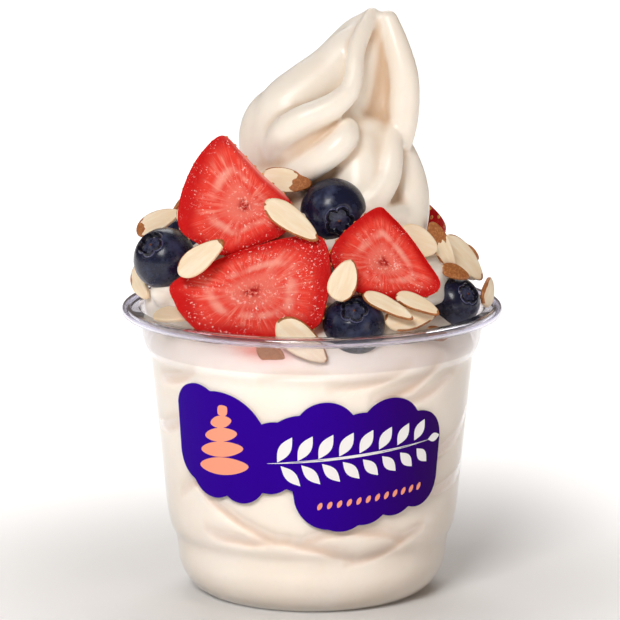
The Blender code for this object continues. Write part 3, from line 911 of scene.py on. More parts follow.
@dataclass
class Yogurt:
    """The filling and the piped swirl above it, melted into one surface."""

    cup: Cup
    turns: float = 2.5
    end_angle: float = 250.0
    end_height: float = 110.0
    end_radius: float = 11.5
    pitch: float = 15.5
    spread: float = 8.8
    centre_x: float = 2.5
    rope: float = 8.6
    rope_sides: int = 60
    star_points: int = 6
    star_depth: float = 0.2
    twist: float = 1.6
    fill_contact: float = 63.5
    fill_top: tuple[tuple[float, float], ...] = (
        (41.6, 65.3), (40.2, 68.0), (38.8, 70.8), (36.5, 73.4), (31, 77), (24, 80),
    )  # fmt: skip
    fill_sides: int = 160
    into_wall: float = 0.2
    ridge_sides: int = 32
    ridge_steps: int = 8
    voxel: float = 0.765
    smoothing: int = 6
    shading_reach: int = 150
    # Painted shade: how strongly the swirl's hollows are marked for their tan shade.
    hollow_shade_gain: float = 0.95
    rim_height: float = 74.0
    fold_pull: float = 0.6
    # Painted shade: how strongly the wall's creases are marked for their tan shade.
    crease_shade_gain: float = 0.85
    stain_reach: float = 3.5
    # The pink smear below the rim: partly juice, partly a painted reflection of the fruit.
    neck_smear_and_reflection: tuple[float, float, float, float] = (-11.5, 70.0, 7.5, 2.6)
    recesses: tuple[tuple[float, float, float, float], ...] = ((1.0, -25, 95.5, 8.0), (4.5, -36, 80, 6.0))
    recess_pull: float = 0.8
    slice_reach: float = 24.0
    slice_bed: float = -1.8
    berry_room: float = 1.15
    finish: Cream = field(default_factory=Cream)

    def frames(self, route: Sequence[Vector], twist: float = 0.0) -> list[Matrix]:
        """A transform for each step of a route.

        Args:
            route: Points (x, y, z, radius).
            twist: Degrees of roll for each millimetre.

        Returns:
            Transforms that turn a unit circle into the section at each point.
        """
        places = [Vector(p[:3]) for p in route]
        across = (places[1] - places[0]).orthogonal().normalized()
        travelled, found = 0.0, []
        for i, place in enumerate(places):
            ahead = (places[min(i + 1, len(places) - 1)] - places[max(i - 1, 0)]).normalized()
            across = (across - ahead * across.dot(ahead)).normalized()
            travelled += (place - places[i - 1]).length if i else 0.0
            turn = Matrix((across, ahead.cross(across), ahead)).transposed().to_4x4()
            roll = Matrix.Rotation(math.radians(twist * travelled), 4, "Z")
            found.append(Matrix.Translation(place) @ turn @ roll @ Matrix.Scale(route[i][3], 4))
        return found

    def strand(
        self, shape: bmesh.types.BMesh, frames: Sequence[Matrix], sides: int, star: float = 0.0
    ) -> None:
        """Sweeps a round or star-shaped section through transforms and closes its ends.

        Args:
            shape: The bmesh that it joins.
            frames: The section's transform at each step.
            sides: Points in the section.
            star: How deep the hollows between a star's points are, as a share of the radius.
        """
        ring = bmesh.ops.create_circle(shape, segments=sides, radius=1.0)["verts"]
        for vert in ring:
            angle = math.atan2(vert.co.y, vert.co.x)
            vert.co *= 1 - star * (0.5 - 0.5 * math.cos(self.star_points * angle))
        edges = list({e for v in ring for e in v.link_edges})
        bmesh.ops.transform(shape, matrix=frames[0], verts=ring)
        bmesh.ops.contextual_create(shape, geom=edges)
        for before, after in zip(frames, frames[1:]):
            edges, _ = pulled(shape, edges, after @ before.inverted())
        bmesh.ops.contextual_create(shape, geom=edges)

    def coil_route(self) -> list[Vector]:
        """Winds the coiled rope's centre line, from the outer foot of the cone to its top.

        Returns:
            Points (x, y, z, radius).
        """
        steps = round(self.turns * 40)
        route = []
        for i in range(steps + 1):
            left = self.turns * (1 - i / steps)
            angle = math.radians(self.end_angle - 360 * left)
            radius = self.end_radius + self.spread * left
            height = self.end_height - self.pitch * left
            x, y = self.centre_x + radius * math.cos(angle), radius * math.sin(angle)
            route.append(Vector((x, y, height, self.rope)))
        return route

    def add_filling(self, shape: bmesh.types.BMesh) -> None:
        """Adds the body of yogurt that fills the cup, reaching just into the wall.

        Args:
            shape: The bmesh that it joins.
        """
        half = self.cup.sheet / 2 - self.into_wall
        wall = [p for p in self.cup.wall_line() if p.z < self.fill_contact]
        inner = []
        for i, point in enumerate(wall):
            along = wall[min(i + 1, len(wall) - 1)] - wall[max(i - 1, 0)]
            normal = Vector((-along.z, 0, along.x)).normalized()
            inner.append(point + normal * half)
        inner[0].x = 0.0
        top = [Vector((r, 0, z)) for r, z in (*self.fill_top, (0.0, self.fill_top[-1][1] + 2))]
        part = bmesh.new()
        wire(part, inner + top)
        full_turn(part, self.fill_sides)
        mesh = bpy.data.meshes.new("filling_part")
        part.to_mesh(mesh)
        part.free()
        shape.from_mesh(mesh)
        bpy.data.meshes.remove(mesh)

    def melted(self) -> bpy.types.Mesh:
        """Melts the filling, the coil and the ridges into one smooth skin.

        Returns:
            The skin, with its hollows marked for painted shade.
        """
        shape = bmesh.new()
        self.add_filling(shape)
        self.strand(shape, self.frames(self.coil_route(), self.twist), self.rope_sides, self.star_depth)
        for ridge in RIDGES.values():
            route = flowing([Vector(point) for point in ridge], self.ridge_steps)
            self.strand(shape, self.frames(route), self.ridge_sides)
            for end in (route[0], route[-1]):
                place = Matrix.Translation(Vector(end[:3]))
                bmesh.ops.create_icosphere(shape, subdivisions=4, radius=end[3], matrix=place)
        bmesh.ops.recalc_face_normals(shape, faces=shape.faces)
        mesh = bpy.data.meshes.new("rough_yogurt")
        shape.to_mesh(mesh)
        shape.free()
        rough = bpy.data.objects.new("rough_yogurt", mesh)
        bpy.context.scene.collection.objects.link(rough)
        melt = rough.modifiers.new("melt", "REMESH")
        melt.mode, melt.voxel_size = "VOXEL", self.voxel * 1
        ease = rough.modifiers.new("ease", "SMOOTH")
        ease.factor, ease.iterations = 0.5, self.smoothing
        done = self.evaluated(rough)
        ease.iterations += self.shading_reach
        flat = self.evaluated(rough)
        self.mark_hollow_shade(done, flat)
        bpy.data.meshes.remove(flat)
        bpy.data.objects.remove(rough)
        return done

    @staticmethod
    def evaluated(made: bpy.types.Object) -> bpy.types.Mesh:
        """The object's mesh with its modifiers applied."""
        bpy.context.view_layer.update()
        return bpy.data.meshes.new_from_object(made.evaluated_get(bpy.context.evaluated_depsgraph_get()))

    def mark_hollow_shade(self, mesh: bpy.types.Mesh, flat: bpy.types.Mesh) -> None:
        """Marks how far each point lies under a much smoother skin, for the painted shade that tints hollows
        warmer.

        Args:
            mesh: The skin that is marked.
            flat: The same skin, much smoothed.
        """
        hollow = mesh.attributes.new("fold", "FLOAT", "POINT")
        for vert, level, mark in zip(mesh.vertices, flat.vertices, hollow.data):
            # Painted shade: the deeper a point lies under the smoothed skin, the more tan shade it gets.
            lift = (level.co - vert.co).dot(vert.normal)
            depth = min(1.0, max(0.0, lift * self.hollow_shade_gain))
            mark.value = depth if vert.co.z > self.rim_height else 0.0

    def crease_at(self, bearing: float, height: float) -> float:
        """Works out how far a point on the wall side is drawn in by the folds.

        Args:
            bearing: The point's bearing in degrees, 0 at the front.
            height: Its height.

        Returns:
            The depth there in millimetres.
        """
        drawn = 0.0
        for fold in CREASES:
            share = (bearing - fold.start[0]) / (fold.end[0] - fold.start[0])
            if not 0.0 < share < 1.0:
                continue
            line = fold.start[1] + (fold.end[1] - fold.start[1]) * share
            line += fold.sag * 4 * share * (1 - share)
            line += 0.5 * noise.noise(Vector((bearing * 0.09, fold.start[1], 0)))
            gap = height - line
            reach = fold.width * (0.75 if gap < 0 else 2.6)
            drawn += fold.depth * math.exp(-((gap / reach) ** 2)) * math.sin(math.pi * share) ** 0.6
        return drawn

    def press_folds(self, shape: bmesh.types.BMesh) -> None:
        """Draws folds into the wall side, and marks how deep every point lies in a fold, for painted shade
        along the creases.

        The back has the front's folds, turned half round and upside down.

        Args:
            shape: The yogurt.
        """
        fold = shape.verts.layers.float["fold"]
        for vert in shape.verts:
            x, y, z = vert.co
            radius = math.hypot(x, y)
            if 2.0 < z < self.rim_height and radius > self.cup.inside(z) - 2.5:
                bearing = math.degrees(math.atan2(x, -y))
                drawn = self.crease_at(bearing, z)
                drawn += self.crease_at((bearing + 350) % 360 - 180, 80 - z)
                pull = 1 - self.fold_pull * drawn / radius
                vert.co.x, vert.co.y = x * pull, y * pull
                # Painted shade: the crease depth sets how much tan shade is painted here.
                vert[fold] = min(1.0, drawn * self.crease_shade_gain)

    def stain(self, shape: bmesh.types.BMesh, fruit: Sequence[Vector]) -> None:
        """Marks how much juice each point has taken from the fruit near it, and the pink smear below the rim,
        partly juice and partly a painted reflection of the fruit.

        Args:
            shape: The yogurt.
            fruit: Points on the fruit.
        """
        juice = shape.verts.layers.float.new("juice")
        tree = kdtree.KDTree(len(fruit))
        for i, point in enumerate(fruit):
            tree.insert(point, i)
        tree.balance()
        x, z, half_width, half_height = self.neck_smear_and_reflection
        for vert in shape.verts:
            gap = tree.find(vert.co)[2]
            if gap < self.stain_reach:
                vert[juice] = 1 - eased(0.2, self.stain_reach, gap)
            # Below the rim: a pink smear, partly juice and partly a painted reflection of the fruit.
            if vert.co.y < -30 and vert.co.z < 75:
                across, up = (vert.co.x - x) / half_width, (vert.co.z - z) / half_height
                vert[juice] = max(vert[juice], 1.5 * math.exp(-(across**2) - up**2))

    def sink_recesses(self, shape: bmesh.types.BMesh) -> None:
        """Draws the yogurt back towards the axis in the gaps between toppings.

        Args:
            shape: The yogurt.
        """
        for x, y, z, radius in self.recesses:
            inward = Vector((-x, -y, 0)).normalized()
            for vert in shape.verts:
                gap = (vert.co - Vector((x, y, z))).length
                if gap < radius:
                    vert.co += inward * (radius - gap) * self.recess_pull

    def clear_faces(self, shape: bmesh.types.BMesh, slices: Sequence["StrawberrySlice"]) -> None:
        """Presses the yogurt back wherever it would lie over a slice's cut face.

        Args:
            shape: The yogurt.
            slices: The slices.
        """
        for item in slices:
            place = item.place.matrix()
            back = place.inverted()
            middle = item.middle()
            spokes = [(point - middle).to_2d() for point in item.outline()]
            edge = [(spoke.length, math.atan2(spoke.y, spoke.x)) for spoke in spokes]
            for vert in shape.verts:
                local = back @ vert.co
                flat = (local - middle).to_2d()
                if not -2.5 < local.z < 9.0 or flat.length > self.slice_reach:
                    continue
                turn = math.atan2(flat.y, flat.x)
                reach = min(edge, key=lambda e: abs((e[1] - turn + math.pi) % math.tau - math.pi))[0]
                share = 1 - eased(reach - 0.6, reach + 2.2, flat.length)
                share *= eased(70, 74, vert.co.z) * (1 - eased(4, 8.5, local.z))
                if share > 0:
                    local.z += (min(local.z, self.slice_bed) - local.z) * share
                    vert.co = place @ local

    def make_room(self, shape: bmesh.types.BMesh, berries: Sequence["Blueberry"]) -> None:
        """Keeps the yogurt inside each berry well below its skin.

        Args:
            shape: The yogurt.
            berries: The berries.
        """
        for berry in berries:
            centre = berry.place.matrix().translation
            for vert in shape.verts:
                away = vert.co - centre
                if away.length < berry.radius * self.berry_room:
                    near = eased(0.90, self.berry_room, away.length / berry.radius)
                    vert.co = centre + away * (0.76 + 0.24 * near)

    def build(
        self, fruit: Sequence[Vector], slices: Sequence["StrawberrySlice"], berries: Sequence["Blueberry"]
    ) -> bpy.types.Object:
        """Makes the yogurt.

        Args:
            fruit: Points on the cut strawberries, in millimetres, round which the yogurt is stained.
            slices: The slices that sit in it.
            berries: The berries that sit in it.

        Returns:
            The finished piece.
        """
        shape = bmesh.new()
        mesh = self.melted()
        shape.from_mesh(mesh)
        bpy.data.meshes.remove(mesh)
        self.press_folds(shape)
        self.sink_recesses(shape)
        self.clear_faces(shape, slices)
        self.make_room(shape, berries)
        self.stain(shape, fruit)
        face_out(shape)
        return piece_from(shape, "yogurt_swirl", self.finish.make(), ["yogurt"], crease=180)


# ---------------------------------------------------------------- toppings

# The cut faces' outlines, (across, up) from about their middles.
TALL_CUT = ((-4, 15), (-9.5, 10), (-13, 3), (-14.5, -3.5), (-14, -8.5), (-10.5, -11.5), (-2.5, -15),
            (5, -12.5), (13, -8.5), (14, -1.5), (6.5, 5.5), (1, 11))  # fmt: skip
BROAD_CUT = ((-20, 0.5), (-9.5, 6.5), (-1, 10), (8.5, 13), (17, 13.5), (20, 6), (19.5, -3), (17.5, -9),
             (9, -12), (-1.5, -12.5), (-11.5, -11.5), (-16, -8.5), (-19, -4.5))  # fmt: skip
BLUNT_CUT = ((-1, 12.5), (-7, 9), (-12.5, 4), (-14, -0.5), (-11, -6), (-7, -9), (1.5, -11), (10, -10.5),
             (13.5, -7.5), (10.5, -1.5), (6.5, 5), (2, 10.5))  # fmt: skip


@dataclass
class StrawberrySlice:
    """A strawberry cut lengthwise: its cut face, the rounded skin behind it and the skin's seeds."""

    number: int
    place: Place
    corners: tuple[tuple[float, float], ...]
    depth: float
    core: tuple[float, float] = (0.0, 0.0)
    facet: tuple[float, float] = (0.0, 0.0)
    fullness: float = 0.6
    per_span: int = 9
    face_steps: tuple[float, ...] = (
        0.985, 0.96, 0.92, 0.86, 0.79, 0.71, 0.62, 0.53, 0.44, 0.35, 0.27, 0.19, 0.12, 0.05,
    )  # fmt: skip
    skin_steps: int = 15
    seed_rings: tuple[float, ...] = (8.0, 24.0, 42.0, 62.0)
    seed_spacing: float = 3.4
    seed_size: tuple[float, float, float] = (0.42, 0.66, 0.30)
    seed_lift: float = 0.02

    def outline(self) -> list[Vector]:
        """The cut face's edge."""
        return flowing([Vector((x, y, 0)) for x, y in self.corners], self.per_span, closed=True)

    def middle(self) -> Vector:
        """The middle of the cut face's edge."""
        edge = self.outline()
        return sum(edge, Vector()) / len(edge)

    def skin_point(self, edge: Vector, turn: float) -> Vector:
        """Finds a point on the skin.

        Args:
            edge: The point of the cut's edge that it lies behind.
            turn: How far round the skin it is, in radians back from the cut face.

        Returns:
            The point.
        """
        share = math.cos(turn) ** self.fullness
        middle = self.middle()
        return middle + (edge - middle) * share + Vector((0, 0, -self.depth * math.sin(turn)))

    def build(self, flesh: bpy.types.Material, seed: bpy.types.Material) -> list[Vector]:
        """Makes the slice and its seeds.

        Args:
            flesh: The fruit's material.
            seed: The seeds' material.

        Returns:
            Points on the slice, in millimetres, for the juice it leaves.
        """
        shape = bmesh.new()
        span = shape.verts.layers.float.new("span")
        around = shape.verts.layers.float_vector.new("around")
        own = shape.verts.layers.float_vector.new("own")
        pale = shape.verts.layers.float.new("facet")
        rim = wire(shape, self.outline(), closed=True)
        for vert in shape.verts:
            vert[span] = 1.0
        heart = Vector((*self.core, 0))
        self.add_face(shape, rim, heart)
        self.add_skin(shape, rim)
        for vert in shape.verts:
            flat = (vert.co - heart).to_2d()
            flat = flat.normalized() if flat.length > 1e-6 else flat
            vert[around] = (flat.x, flat.y, vert[span])
            vert[pale] = self.facet_at(math.degrees(math.atan2(flat.y, flat.x)), vert[span])
            vert[own] = vert.co + Vector((37 * self.number, 0, 0))
        face_out(shape)
        shape.transform(self.place.matrix())
        points = [v.co.copy() for v in shape.verts][::3]
        name = f"strawberry_{self.number:02d}"
        piece_from(shape, f"{name}_cut", flesh, [name], crease=75)
        self.add_seeds(f"{name}_seeds", seed)
        return points

    def add_face(self, shape: bmesh.types.BMesh, rim: Sequence[bmesh.types.BMEdge], heart: Vector) -> None:
        """Fills the cut face with rings that draw in to its heart.

        Args:
            shape: The slice.
            rim: The edges round the cut.
            heart: The middle of the core.
        """
        span = shape.verts.layers.float["span"]
        middle = self.middle()
        offset = heart - middle
        edges, before = rim, 1.0
        for share in self.face_steps:
            drift = offset * (1 - share) - offset * (1 - before)
            move = about(middle + offset * (1 - before), share / before, drift)
            edges, verts = pulled(shape, edges, move)
            for vert in verts:
                vert[span] = share
                vert.co.z = self.face_height(vert.co - heart, share)
            before = share
        bmesh.ops.contextual_create(shape, geom=edges)

    def add_skin(self, shape: bmesh.types.BMesh, rim: Sequence[bmesh.types.BMEdge]) -> None:
        """Rounds the skin back behind the cut face and closes it.

        Args:
            shape: The slice.
            rim: The edges round the cut.
        """
        span = shape.verts.layers.float["span"]
        middle = self.middle()
        edges, before = rim, 0.0
        for i in range(1, self.skin_steps):
            turn = math.pi / 2 * i / self.skin_steps
            scale = (math.cos(turn) / math.cos(before)) ** self.fullness
            sink = -self.depth * (math.sin(turn) - math.sin(before))
            edges, verts = pulled(shape, edges, about(middle, scale, Vector((0, 0, sink))))
            for vert in verts:
                vert[span] = 1.0 + i / self.skin_steps
            before = turn
        bmesh.ops.contextual_create(shape, geom=edges)

    def facet_at(self, bearing: float, span: float) -> float:
        """Works out how far a point lies on the narrow second cut along one edge.

        Args:
            bearing: The point's bearing from the heart, in degrees.
            span: Its mark: 0 at the heart, 1 at the edge.

        Returns:
            A share from 0 to 1.
        """
        low, high = self.facet
        if not low < bearing < high:
            return 0.0
        return eased(low, low + 15, bearing) * eased(high, high - 25, bearing) * eased(0.90, 0.96, span)

    def face_height(self, place: Vector, share: float) -> float:
        """Works out the relief of the cut face: a soft rim, faint rays and a hollow at the core.

        Args:
            place: The point's place from the heart.
            share: Its mark: 0 at the heart, 1 at the edge.

        Returns:
            The height above the cut's plane.
        """
        angle = math.atan2(place.y, place.x)
        ray = noise.noise(Vector((math.cos(angle) * 6, math.sin(angle) * 6, self.number + share * 0.8)))
        lump = noise.noise(place * 0.35 + Vector((0, 0, self.number * 7.0)))
        height = 0.35 - 0.5 * eased(0.90, 1.0, share)
        height += 0.22 * ray * eased(0.15, 0.5, share) * (1 - eased(0.85, 1.0, share)) + 0.18 * lump
        return height - 0.75 * (1 - eased(0.05, 0.30, share)) * (0.6 + lump)

    def add_seeds(self, name: str, finish: bpy.types.Material) -> None:
        """Sets rows of seeds into the skin.

        Args:
            name: The piece's name.
            finish: The seeds' material.
        """
        shape = bmesh.new()
        edge = self.outline()
        for row, degrees in enumerate(self.seed_rings):
            turn = math.radians(degrees)
            ring = [self.skin_point(p, turn) for p in edge]
            travelled = self.seed_spacing * (0.5 if row % 2 else 0.0)
            for i, point in enumerate(ring):
                travelled += (point - ring[i - 1]).length
                if travelled < self.seed_spacing:
                    continue
                travelled -= self.seed_spacing
                along = (ring[(i + 1) % len(ring)] - ring[i - 1]).normalized()
                back = (self.skin_point(edge[i], turn + 0.1) - point).normalized()
                self.add_seed(shape, point, along, back)
        face_out(shape)
        shape.transform(self.place.matrix())
        piece_from(shape, name, finish)

    def add_seed(self, shape: bmesh.types.BMesh, point: Vector, along: Vector, back: Vector) -> None:
        """Sets one seed into the skin.

        Args:
            shape: The bmesh of seeds.
            point: Where it sits.
            along: The direction along the row.
            back: The direction back over the skin.
        """
        normal = along.cross(back).normalized()
        normal = normal if normal.dot(point - self.middle()) > 0 else -normal
        tip = normal.cross(along).normalized()
        turned = Matrix((along, tip, normal)).transposed().to_4x4()
        size = Matrix.Diagonal((*self.seed_size, 1))
        place = Matrix.Translation(point + normal * self.seed_lift) @ turned @ size
        bmesh.ops.create_icosphere(shape, subdivisions=2, radius=1.0, matrix=place)


@dataclass
class Blueberry:
    """A blueberry, with its frilled crown on the side that it faces."""

    number: int
    place: Place
    radius: float
    lobes: int = 5
    flattening: float = 0.93
    sides: int = 80
    crown_edge: float = 20.5
    frill_depth: float = 5.5
    rings: tuple[float, ...] = (
        0, 3, 6, 9, 12, 14, 16, 18, 19.5, 21, 22.5, 24, 25.5, 27, 28.5, 30, 32, 35, 40, 46, 54, 62, 71, 80,
        90, 100, 110, 120, 130, 140, 150, 160, 170, 180,
    )  # fmt: skip

    def build(self, skin: bpy.types.Material) -> bpy.types.Object:
        """Makes the berry.

        Args:
            skin: Its material.

        Returns:
            The finished piece.
        """
        shape = bmesh.new()
        profile = []
        for ring in self.rings:
            turn = math.radians(ring)
            profile.append(Vector((abs(math.sin(turn)), 0, math.cos(turn))) * self.radius)
        profile[0].x = profile[-1].x = 0.0
        wire(shape, profile)
        full_turn(shape, self.sides)
        own = shape.verts.layers.float_vector.new("own")
        crown = shape.verts.layers.float.new("crown")
        for vert in shape.verts:
            vert[own] = vert.co + Vector((0, 41 * self.number, 0))
            off_axis = math.degrees(vert.co.angle(Vector((0, 0, 1))))
            vert.co.z *= self.flattening
            lift, vert[crown] = self.crown_at(off_axis, math.atan2(vert.co.y, vert.co.x))
            vert.co.z += lift * self.radius
            vert.co *= 1 + 0.012 * noise.noise(vert.co * 0.25 + Vector((0, 0, 9.0 * self.number)))
        face_out(shape)
        shape.transform(self.place.matrix())
        name = f"blueberry_{self.number:02d}"
        return piece_from(shape, f"{name}_berry", skin, [name], crease=70)

    def crown_at(self, off_axis: float, bearing: float) -> tuple[float, float]:
        """The crown's shape.

        Args:
            off_axis: Degrees from the crown's middle.
            bearing: Angle round the crown.

        Returns:
            How far the surface is lifted, as a share of the radius, and a mark: 0 outside, 2 at the middle.
        """
        wobble = 1.2 * noise.noise(Vector((math.cos(bearing) * 2, math.sin(bearing) * 2, self.number)))
        frill = abs(math.cos(self.lobes * bearing / 2)) ** 0.7
        edge = self.crown_edge + self.frill_depth * frill + wobble
        lip = 0.085 * math.exp(-(((off_axis - edge + 1.2) / 2.0) ** 2)) * (0.45 + 0.55 * frill)
        ditch = -0.035 * math.exp(-(((off_axis - edge - 2.2) / 1.6) ** 2))
        pit = -0.125 * (1 - eased(edge - 6.5, edge - 1.5, off_axis))
        scar = 0.03 * math.exp(-((off_axis / 3.2) ** 2))
        mark = 1.0
        if off_axis > edge:
            mark = eased(edge + 5, edge + 0.5, off_axis)
        elif off_axis < edge - 2.5:
            floor = 1.0 + 0.65 * eased(edge - 3.0, edge - 8.0, off_axis)
            mark = floor if off_axis > 5 else 1.65 + 0.35 * (1 - off_axis / 5)
        return lip + ditch + pit + scar, mark


@dataclass(frozen=True)
class Peel:
    """Brown skin left on a flake round an angle: how far in it reaches, or how wide an arc it lines."""

    angle: float
    reach: float = 0.0
    arc: float = 0.0

    def at(self, x: float, y: float, span: float) -> float:
        """Works out how far a point of the unit disc lies inside this skin.

        Args:
            x: Its place along the flake, from -1 to 1.
            y: Its place across, from -1 to 1.
            span: Its mark: 0 at the middle, 1 at the edge.

        Returns:
            A share from 0 to 1: over a half is skin.
        """
        turn = math.radians(self.angle)
        along = x * math.cos(turn) + y * math.sin(turn)
        cap = eased(1 - self.reach - 0.12, 1 - self.reach + 0.12, along) if self.reach else 0.0
        off = abs((math.degrees(math.atan2(y, x)) - self.angle + 180) % 360 - 180)
        line = 0.0
        if self.arc and off < self.arc + 14:
            line = eased(0.86, 0.97, span) * eased(self.arc + 14, self.arc - 6, off)
        return max(cap, line)


@dataclass
class AlmondFlake:
    """A flaked almond: a thin bowed plate, narrower at one end, with brown skin left on part of it."""

    number: int
    place: Place
    length: float
    width: float
    peels: tuple[Peel, ...] = ()
    thickness: float = 1.1
    bow: float = 0.5
    narrowing: float = 0.28
    sides: int = 56
    steps: tuple[tuple[float, float], ...] = (
        (0.985, 0.55), (0.955, 0.85), (0.91, 0.98), (0.84, 1.0), (0.74, 1.0), (0.62, 1.0), (0.48, 1.0),
        (0.33, 1.0), (0.17, 1.0),
    )  # fmt: skip

    def outline(self) -> list[Vector]:
        """Draws the flake's edge: an uneven oval, narrower at one end.

        Returns:
            The edge's points.
        """
        edge = []
        for k in range(self.sides):
            angle = math.tau * k / self.sides
            x, y = math.cos(angle), math.sin(angle)
            wobble = 1 + 0.035 * noise.noise(Vector((x * 1.6, y * 1.6, self.number * 3.1)))
            y *= 1 - self.narrowing * x
            edge.append(Vector((x * self.length / 2, y * self.width / 2, 0)) * wobble)
        return edge

    def build(self, finish: bpy.types.Material) -> bpy.types.Object:
        """Makes the flake.

        Args:
            finish: Its material.

        Returns:
            The finished piece.
        """
        shape = bmesh.new()
        span = shape.verts.layers.float.new("span")
        rim = wire(shape, self.outline(), closed=True)
        for vert in shape.verts:
            vert[span] = 1.0
        half = self.thickness / 2
        for side in (1, -1):
            edges, before, level = rim, 1.0, 0.0
            for share, lift in self.steps:
                rise = Vector((0, 0, side * half * lift - level))
                edges, verts = pulled(shape, edges, about(Vector(), share / before, rise))
                level, before = side * half * lift, share
                for vert in verts:
                    vert[span] = share
            bmesh.ops.contextual_create(shape, geom=edges)
        own = shape.verts.layers.float_vector.new("own")
        peel = shape.verts.layers.float.new("peel")
        for vert in shape.verts:
            vert[own] = vert.co + Vector((0, 23 * self.number, 0))
            along, across = vert.co.x / (self.length / 2), vert.co.y / (self.width / 2)
            vert[peel] = self.peel_at(along, across, vert[span])
            vert.co.z -= self.bow * along * along
            vert.co.z += 0.16 * noise.noise(vert.co * 0.22 + Vector((0, 0, self.number * 5.0)))
        face_out(shape)
        shape.transform(self.place.matrix())
        name = f"almond_{self.number:02d}"
        return piece_from(shape, f"{name}_flake", finish, [name], crease=75)

    def peel_at(self, x: float, y: float, span: float) -> float:
        """How far a point lies inside the brown skin, with a torn edge: over a half is skin."""
        torn = 0.22 * noise.noise(Vector((x * 2.6, y * 2.6, self.number * 2.7)))
        return max([0.0, *(peel.at(x + torn, y + torn, span) for peel in self.peels)])


SLICES = (
    StrawberrySlice(1, Place(-19, -24.5, 106.6, -8, 12), TALL_CUT, 7.5, (2.5, -2.5), (6.0, 114.0)),
    StrawberrySlice(2, Place(-15.4, -32.5, 84.7, -12, 20), BROAD_CUT, 8.0, (0.5, -1.0)),
    StrawberrySlice(3, Place(18.3, -29.8, 92.2, 12, 20), BLUNT_CUT, 6.5, (-0.5, -1.5)),
    StrawberrySlice(4, Place(-17, -27, 92, -4, 24, 8, 170), BLUNT_CUT, 7.5, (-0.5, -1.0)),
    StrawberrySlice(5, Place(15, -30, 87, 8, 24, -14, 176), BROAD_CUT, 8.0, (0.5, -1.0)),
)
BERRIES = (
    Blueberry(1, Place(-37.4, -13.5, 88.8, -40, 40), 8.0),
    Blueberry(2, Place(5.4, -19.3, 101.8, 12, -11), 8.4),
    Blueberry(3, Place(10.4, -33.4, 75.4, 0, 46), 7.8),
    Blueberry(4, Place(36.5, -10.5, 77.2, 41, 29), 6.5),
    Blueberry(5, Place(-2, -25.5, 102.5, -10, 40, 0, 172), 7.6),
    Blueberry(6, Place(33, -15, 88, 25, 10, 0, 183), 7.2),
    Blueberry(7, Place(-11, -34, 78, 5, 35, 0, 130), 7.4),
)
FLAKES = (
    AlmondFlake(1, Place(-6.4, -19, 109.6, 5, 20, -9), 13.1, 6.2, (Peel(0, 0.72), Peel(80, arc=60))),
    AlmondFlake(2, Place(-5, -31.8, 101.6, 5, 30, -40), 16.6, 6.3,
                (Peel(0, 0.10), Peel(-70, arc=70), Peel(180, 0.08))),
    AlmondFlake(3, Place(-27.6, -33, 92.5, -20, 25, 42), 14, 6.6, (Peel(70, arc=75), Peel(0, 0.12))),
    AlmondFlake(4, Place(-39.3, -6, 97, -30, 35, 33), 12.6, 6.3, (Peel(180, 0.38), Peel(90, arc=50))),
    AlmondFlake(5, Place(-31, -10.5, 101.5, -20, 10, 62), 10.5, 5, (Peel(90, arc=40),)),
    AlmondFlake(6, Place(-44, -7.5, 81.5, -60, 15, -31), 12.4, 5.7, (Peel(-160, arc=70), Peel(-120, 0.15))),
    AlmondFlake(7, Place(-35.5, -25, 76.5, -35, 60, 0), 10.5, 5.5, (Peel(90, arc=30),)),
    AlmondFlake(8, Place(-2.5, -41, 72.9, -3, 8, -38), 15.5, 7.6, (Peel(95, arc=80), Peel(0, 0.06))),
    AlmondFlake(9, Place(-9.8, -38.5, 69, -12, 2, -37), 9, 5.2, (Peel(0, 2.0),)),
    AlmondFlake(10, Place(7.9, -37.6, 87.6, 5, 12, 69), 10.9, 7, (Peel(-75, arc=75), Peel(-90, 0.12))),
    AlmondFlake(11, Place(18.9, -36.8, 81, 10, 40, -33), 14, 4.3,
                (Peel(-75, arc=80), Peel(180, 0.08), Peel(0, 0.10))),
    AlmondFlake(12, Place(26.3, -35, 81.2, 15, 40, -31), 11.9, 4.4,
                (Peel(-60, arc=75), Peel(180, 0.09), Peel(0, 0.14))),
    AlmondFlake(13, Place(25, -33.4, 77.8, 20, 35, 10), 15, 7,
                (Peel(0, 0.24), Peel(100, arc=70), Peel(-90, arc=40))),
    AlmondFlake(14, Place(31.5, -27.5, 72, 45, 0, -22), 7.4, 3.5, (Peel(0, 2.0),)),
    AlmondFlake(15, Place(26.5, -17.5, 93.6, 15, 15, -22), 11.4, 8.2, (Peel(-90, arc=25),)),
    AlmondFlake(16, Place(33.2, -12.5, 91, 35, 10, -67), 15.3, 5.2, (Peel(180, 0.75), Peel(-20, arc=60))),
    AlmondFlake(17, Place(39, -4.5, 87.2, 50, 25, -53), 15.5, 8, (Peel(70, arc=80), Peel(0, 0.12))),
    AlmondFlake(18, Place(45.2, -4.5, 78.6, 65, 10, 41), 9, 5.5, (Peel(90, arc=80), Peel(90, 0.22))),
    AlmondFlake(19, Place(36.5, -14.5, 85.5, 40, 40, -26), 8.2, 4.4, (Peel(0, 2.0),)),
    AlmondFlake(20, Place(24, -26, 99.5, 30, 30, -40, 200), 14.5, 6.6, (Peel(0, 0.35), Peel(90, arc=60))),
    AlmondFlake(21, Place(-31, -32.5, 79.5, -30, 40, 10, 165), 13, 6, (Peel(-90, arc=80),)),
    AlmondFlake(22, Place(37.5, -22, 78.5, 40, 45, 15, 185), 12, 6, (Peel(90, arc=70), Peel(180, 0.2))),
    AlmondFlake(23, Place(0, -36, 84, 0, 35, -50, 190), 13.5, 6.2, (Peel(60, arc=80), Peel(0, 0.15))),
    AlmondFlake(24, Place(-40, -3, 87, -60, 35, 10, 190), 12, 6, (Peel(180, 0.4),)),
    AlmondFlake(25, Place(-15.5, -20, 108, -20, 25, 35, 180), 14, 6, (Peel(0, 0.3), Peel(-90, arc=60))),
)  # fmt: skip


# ---------------------------------------------------------------- label


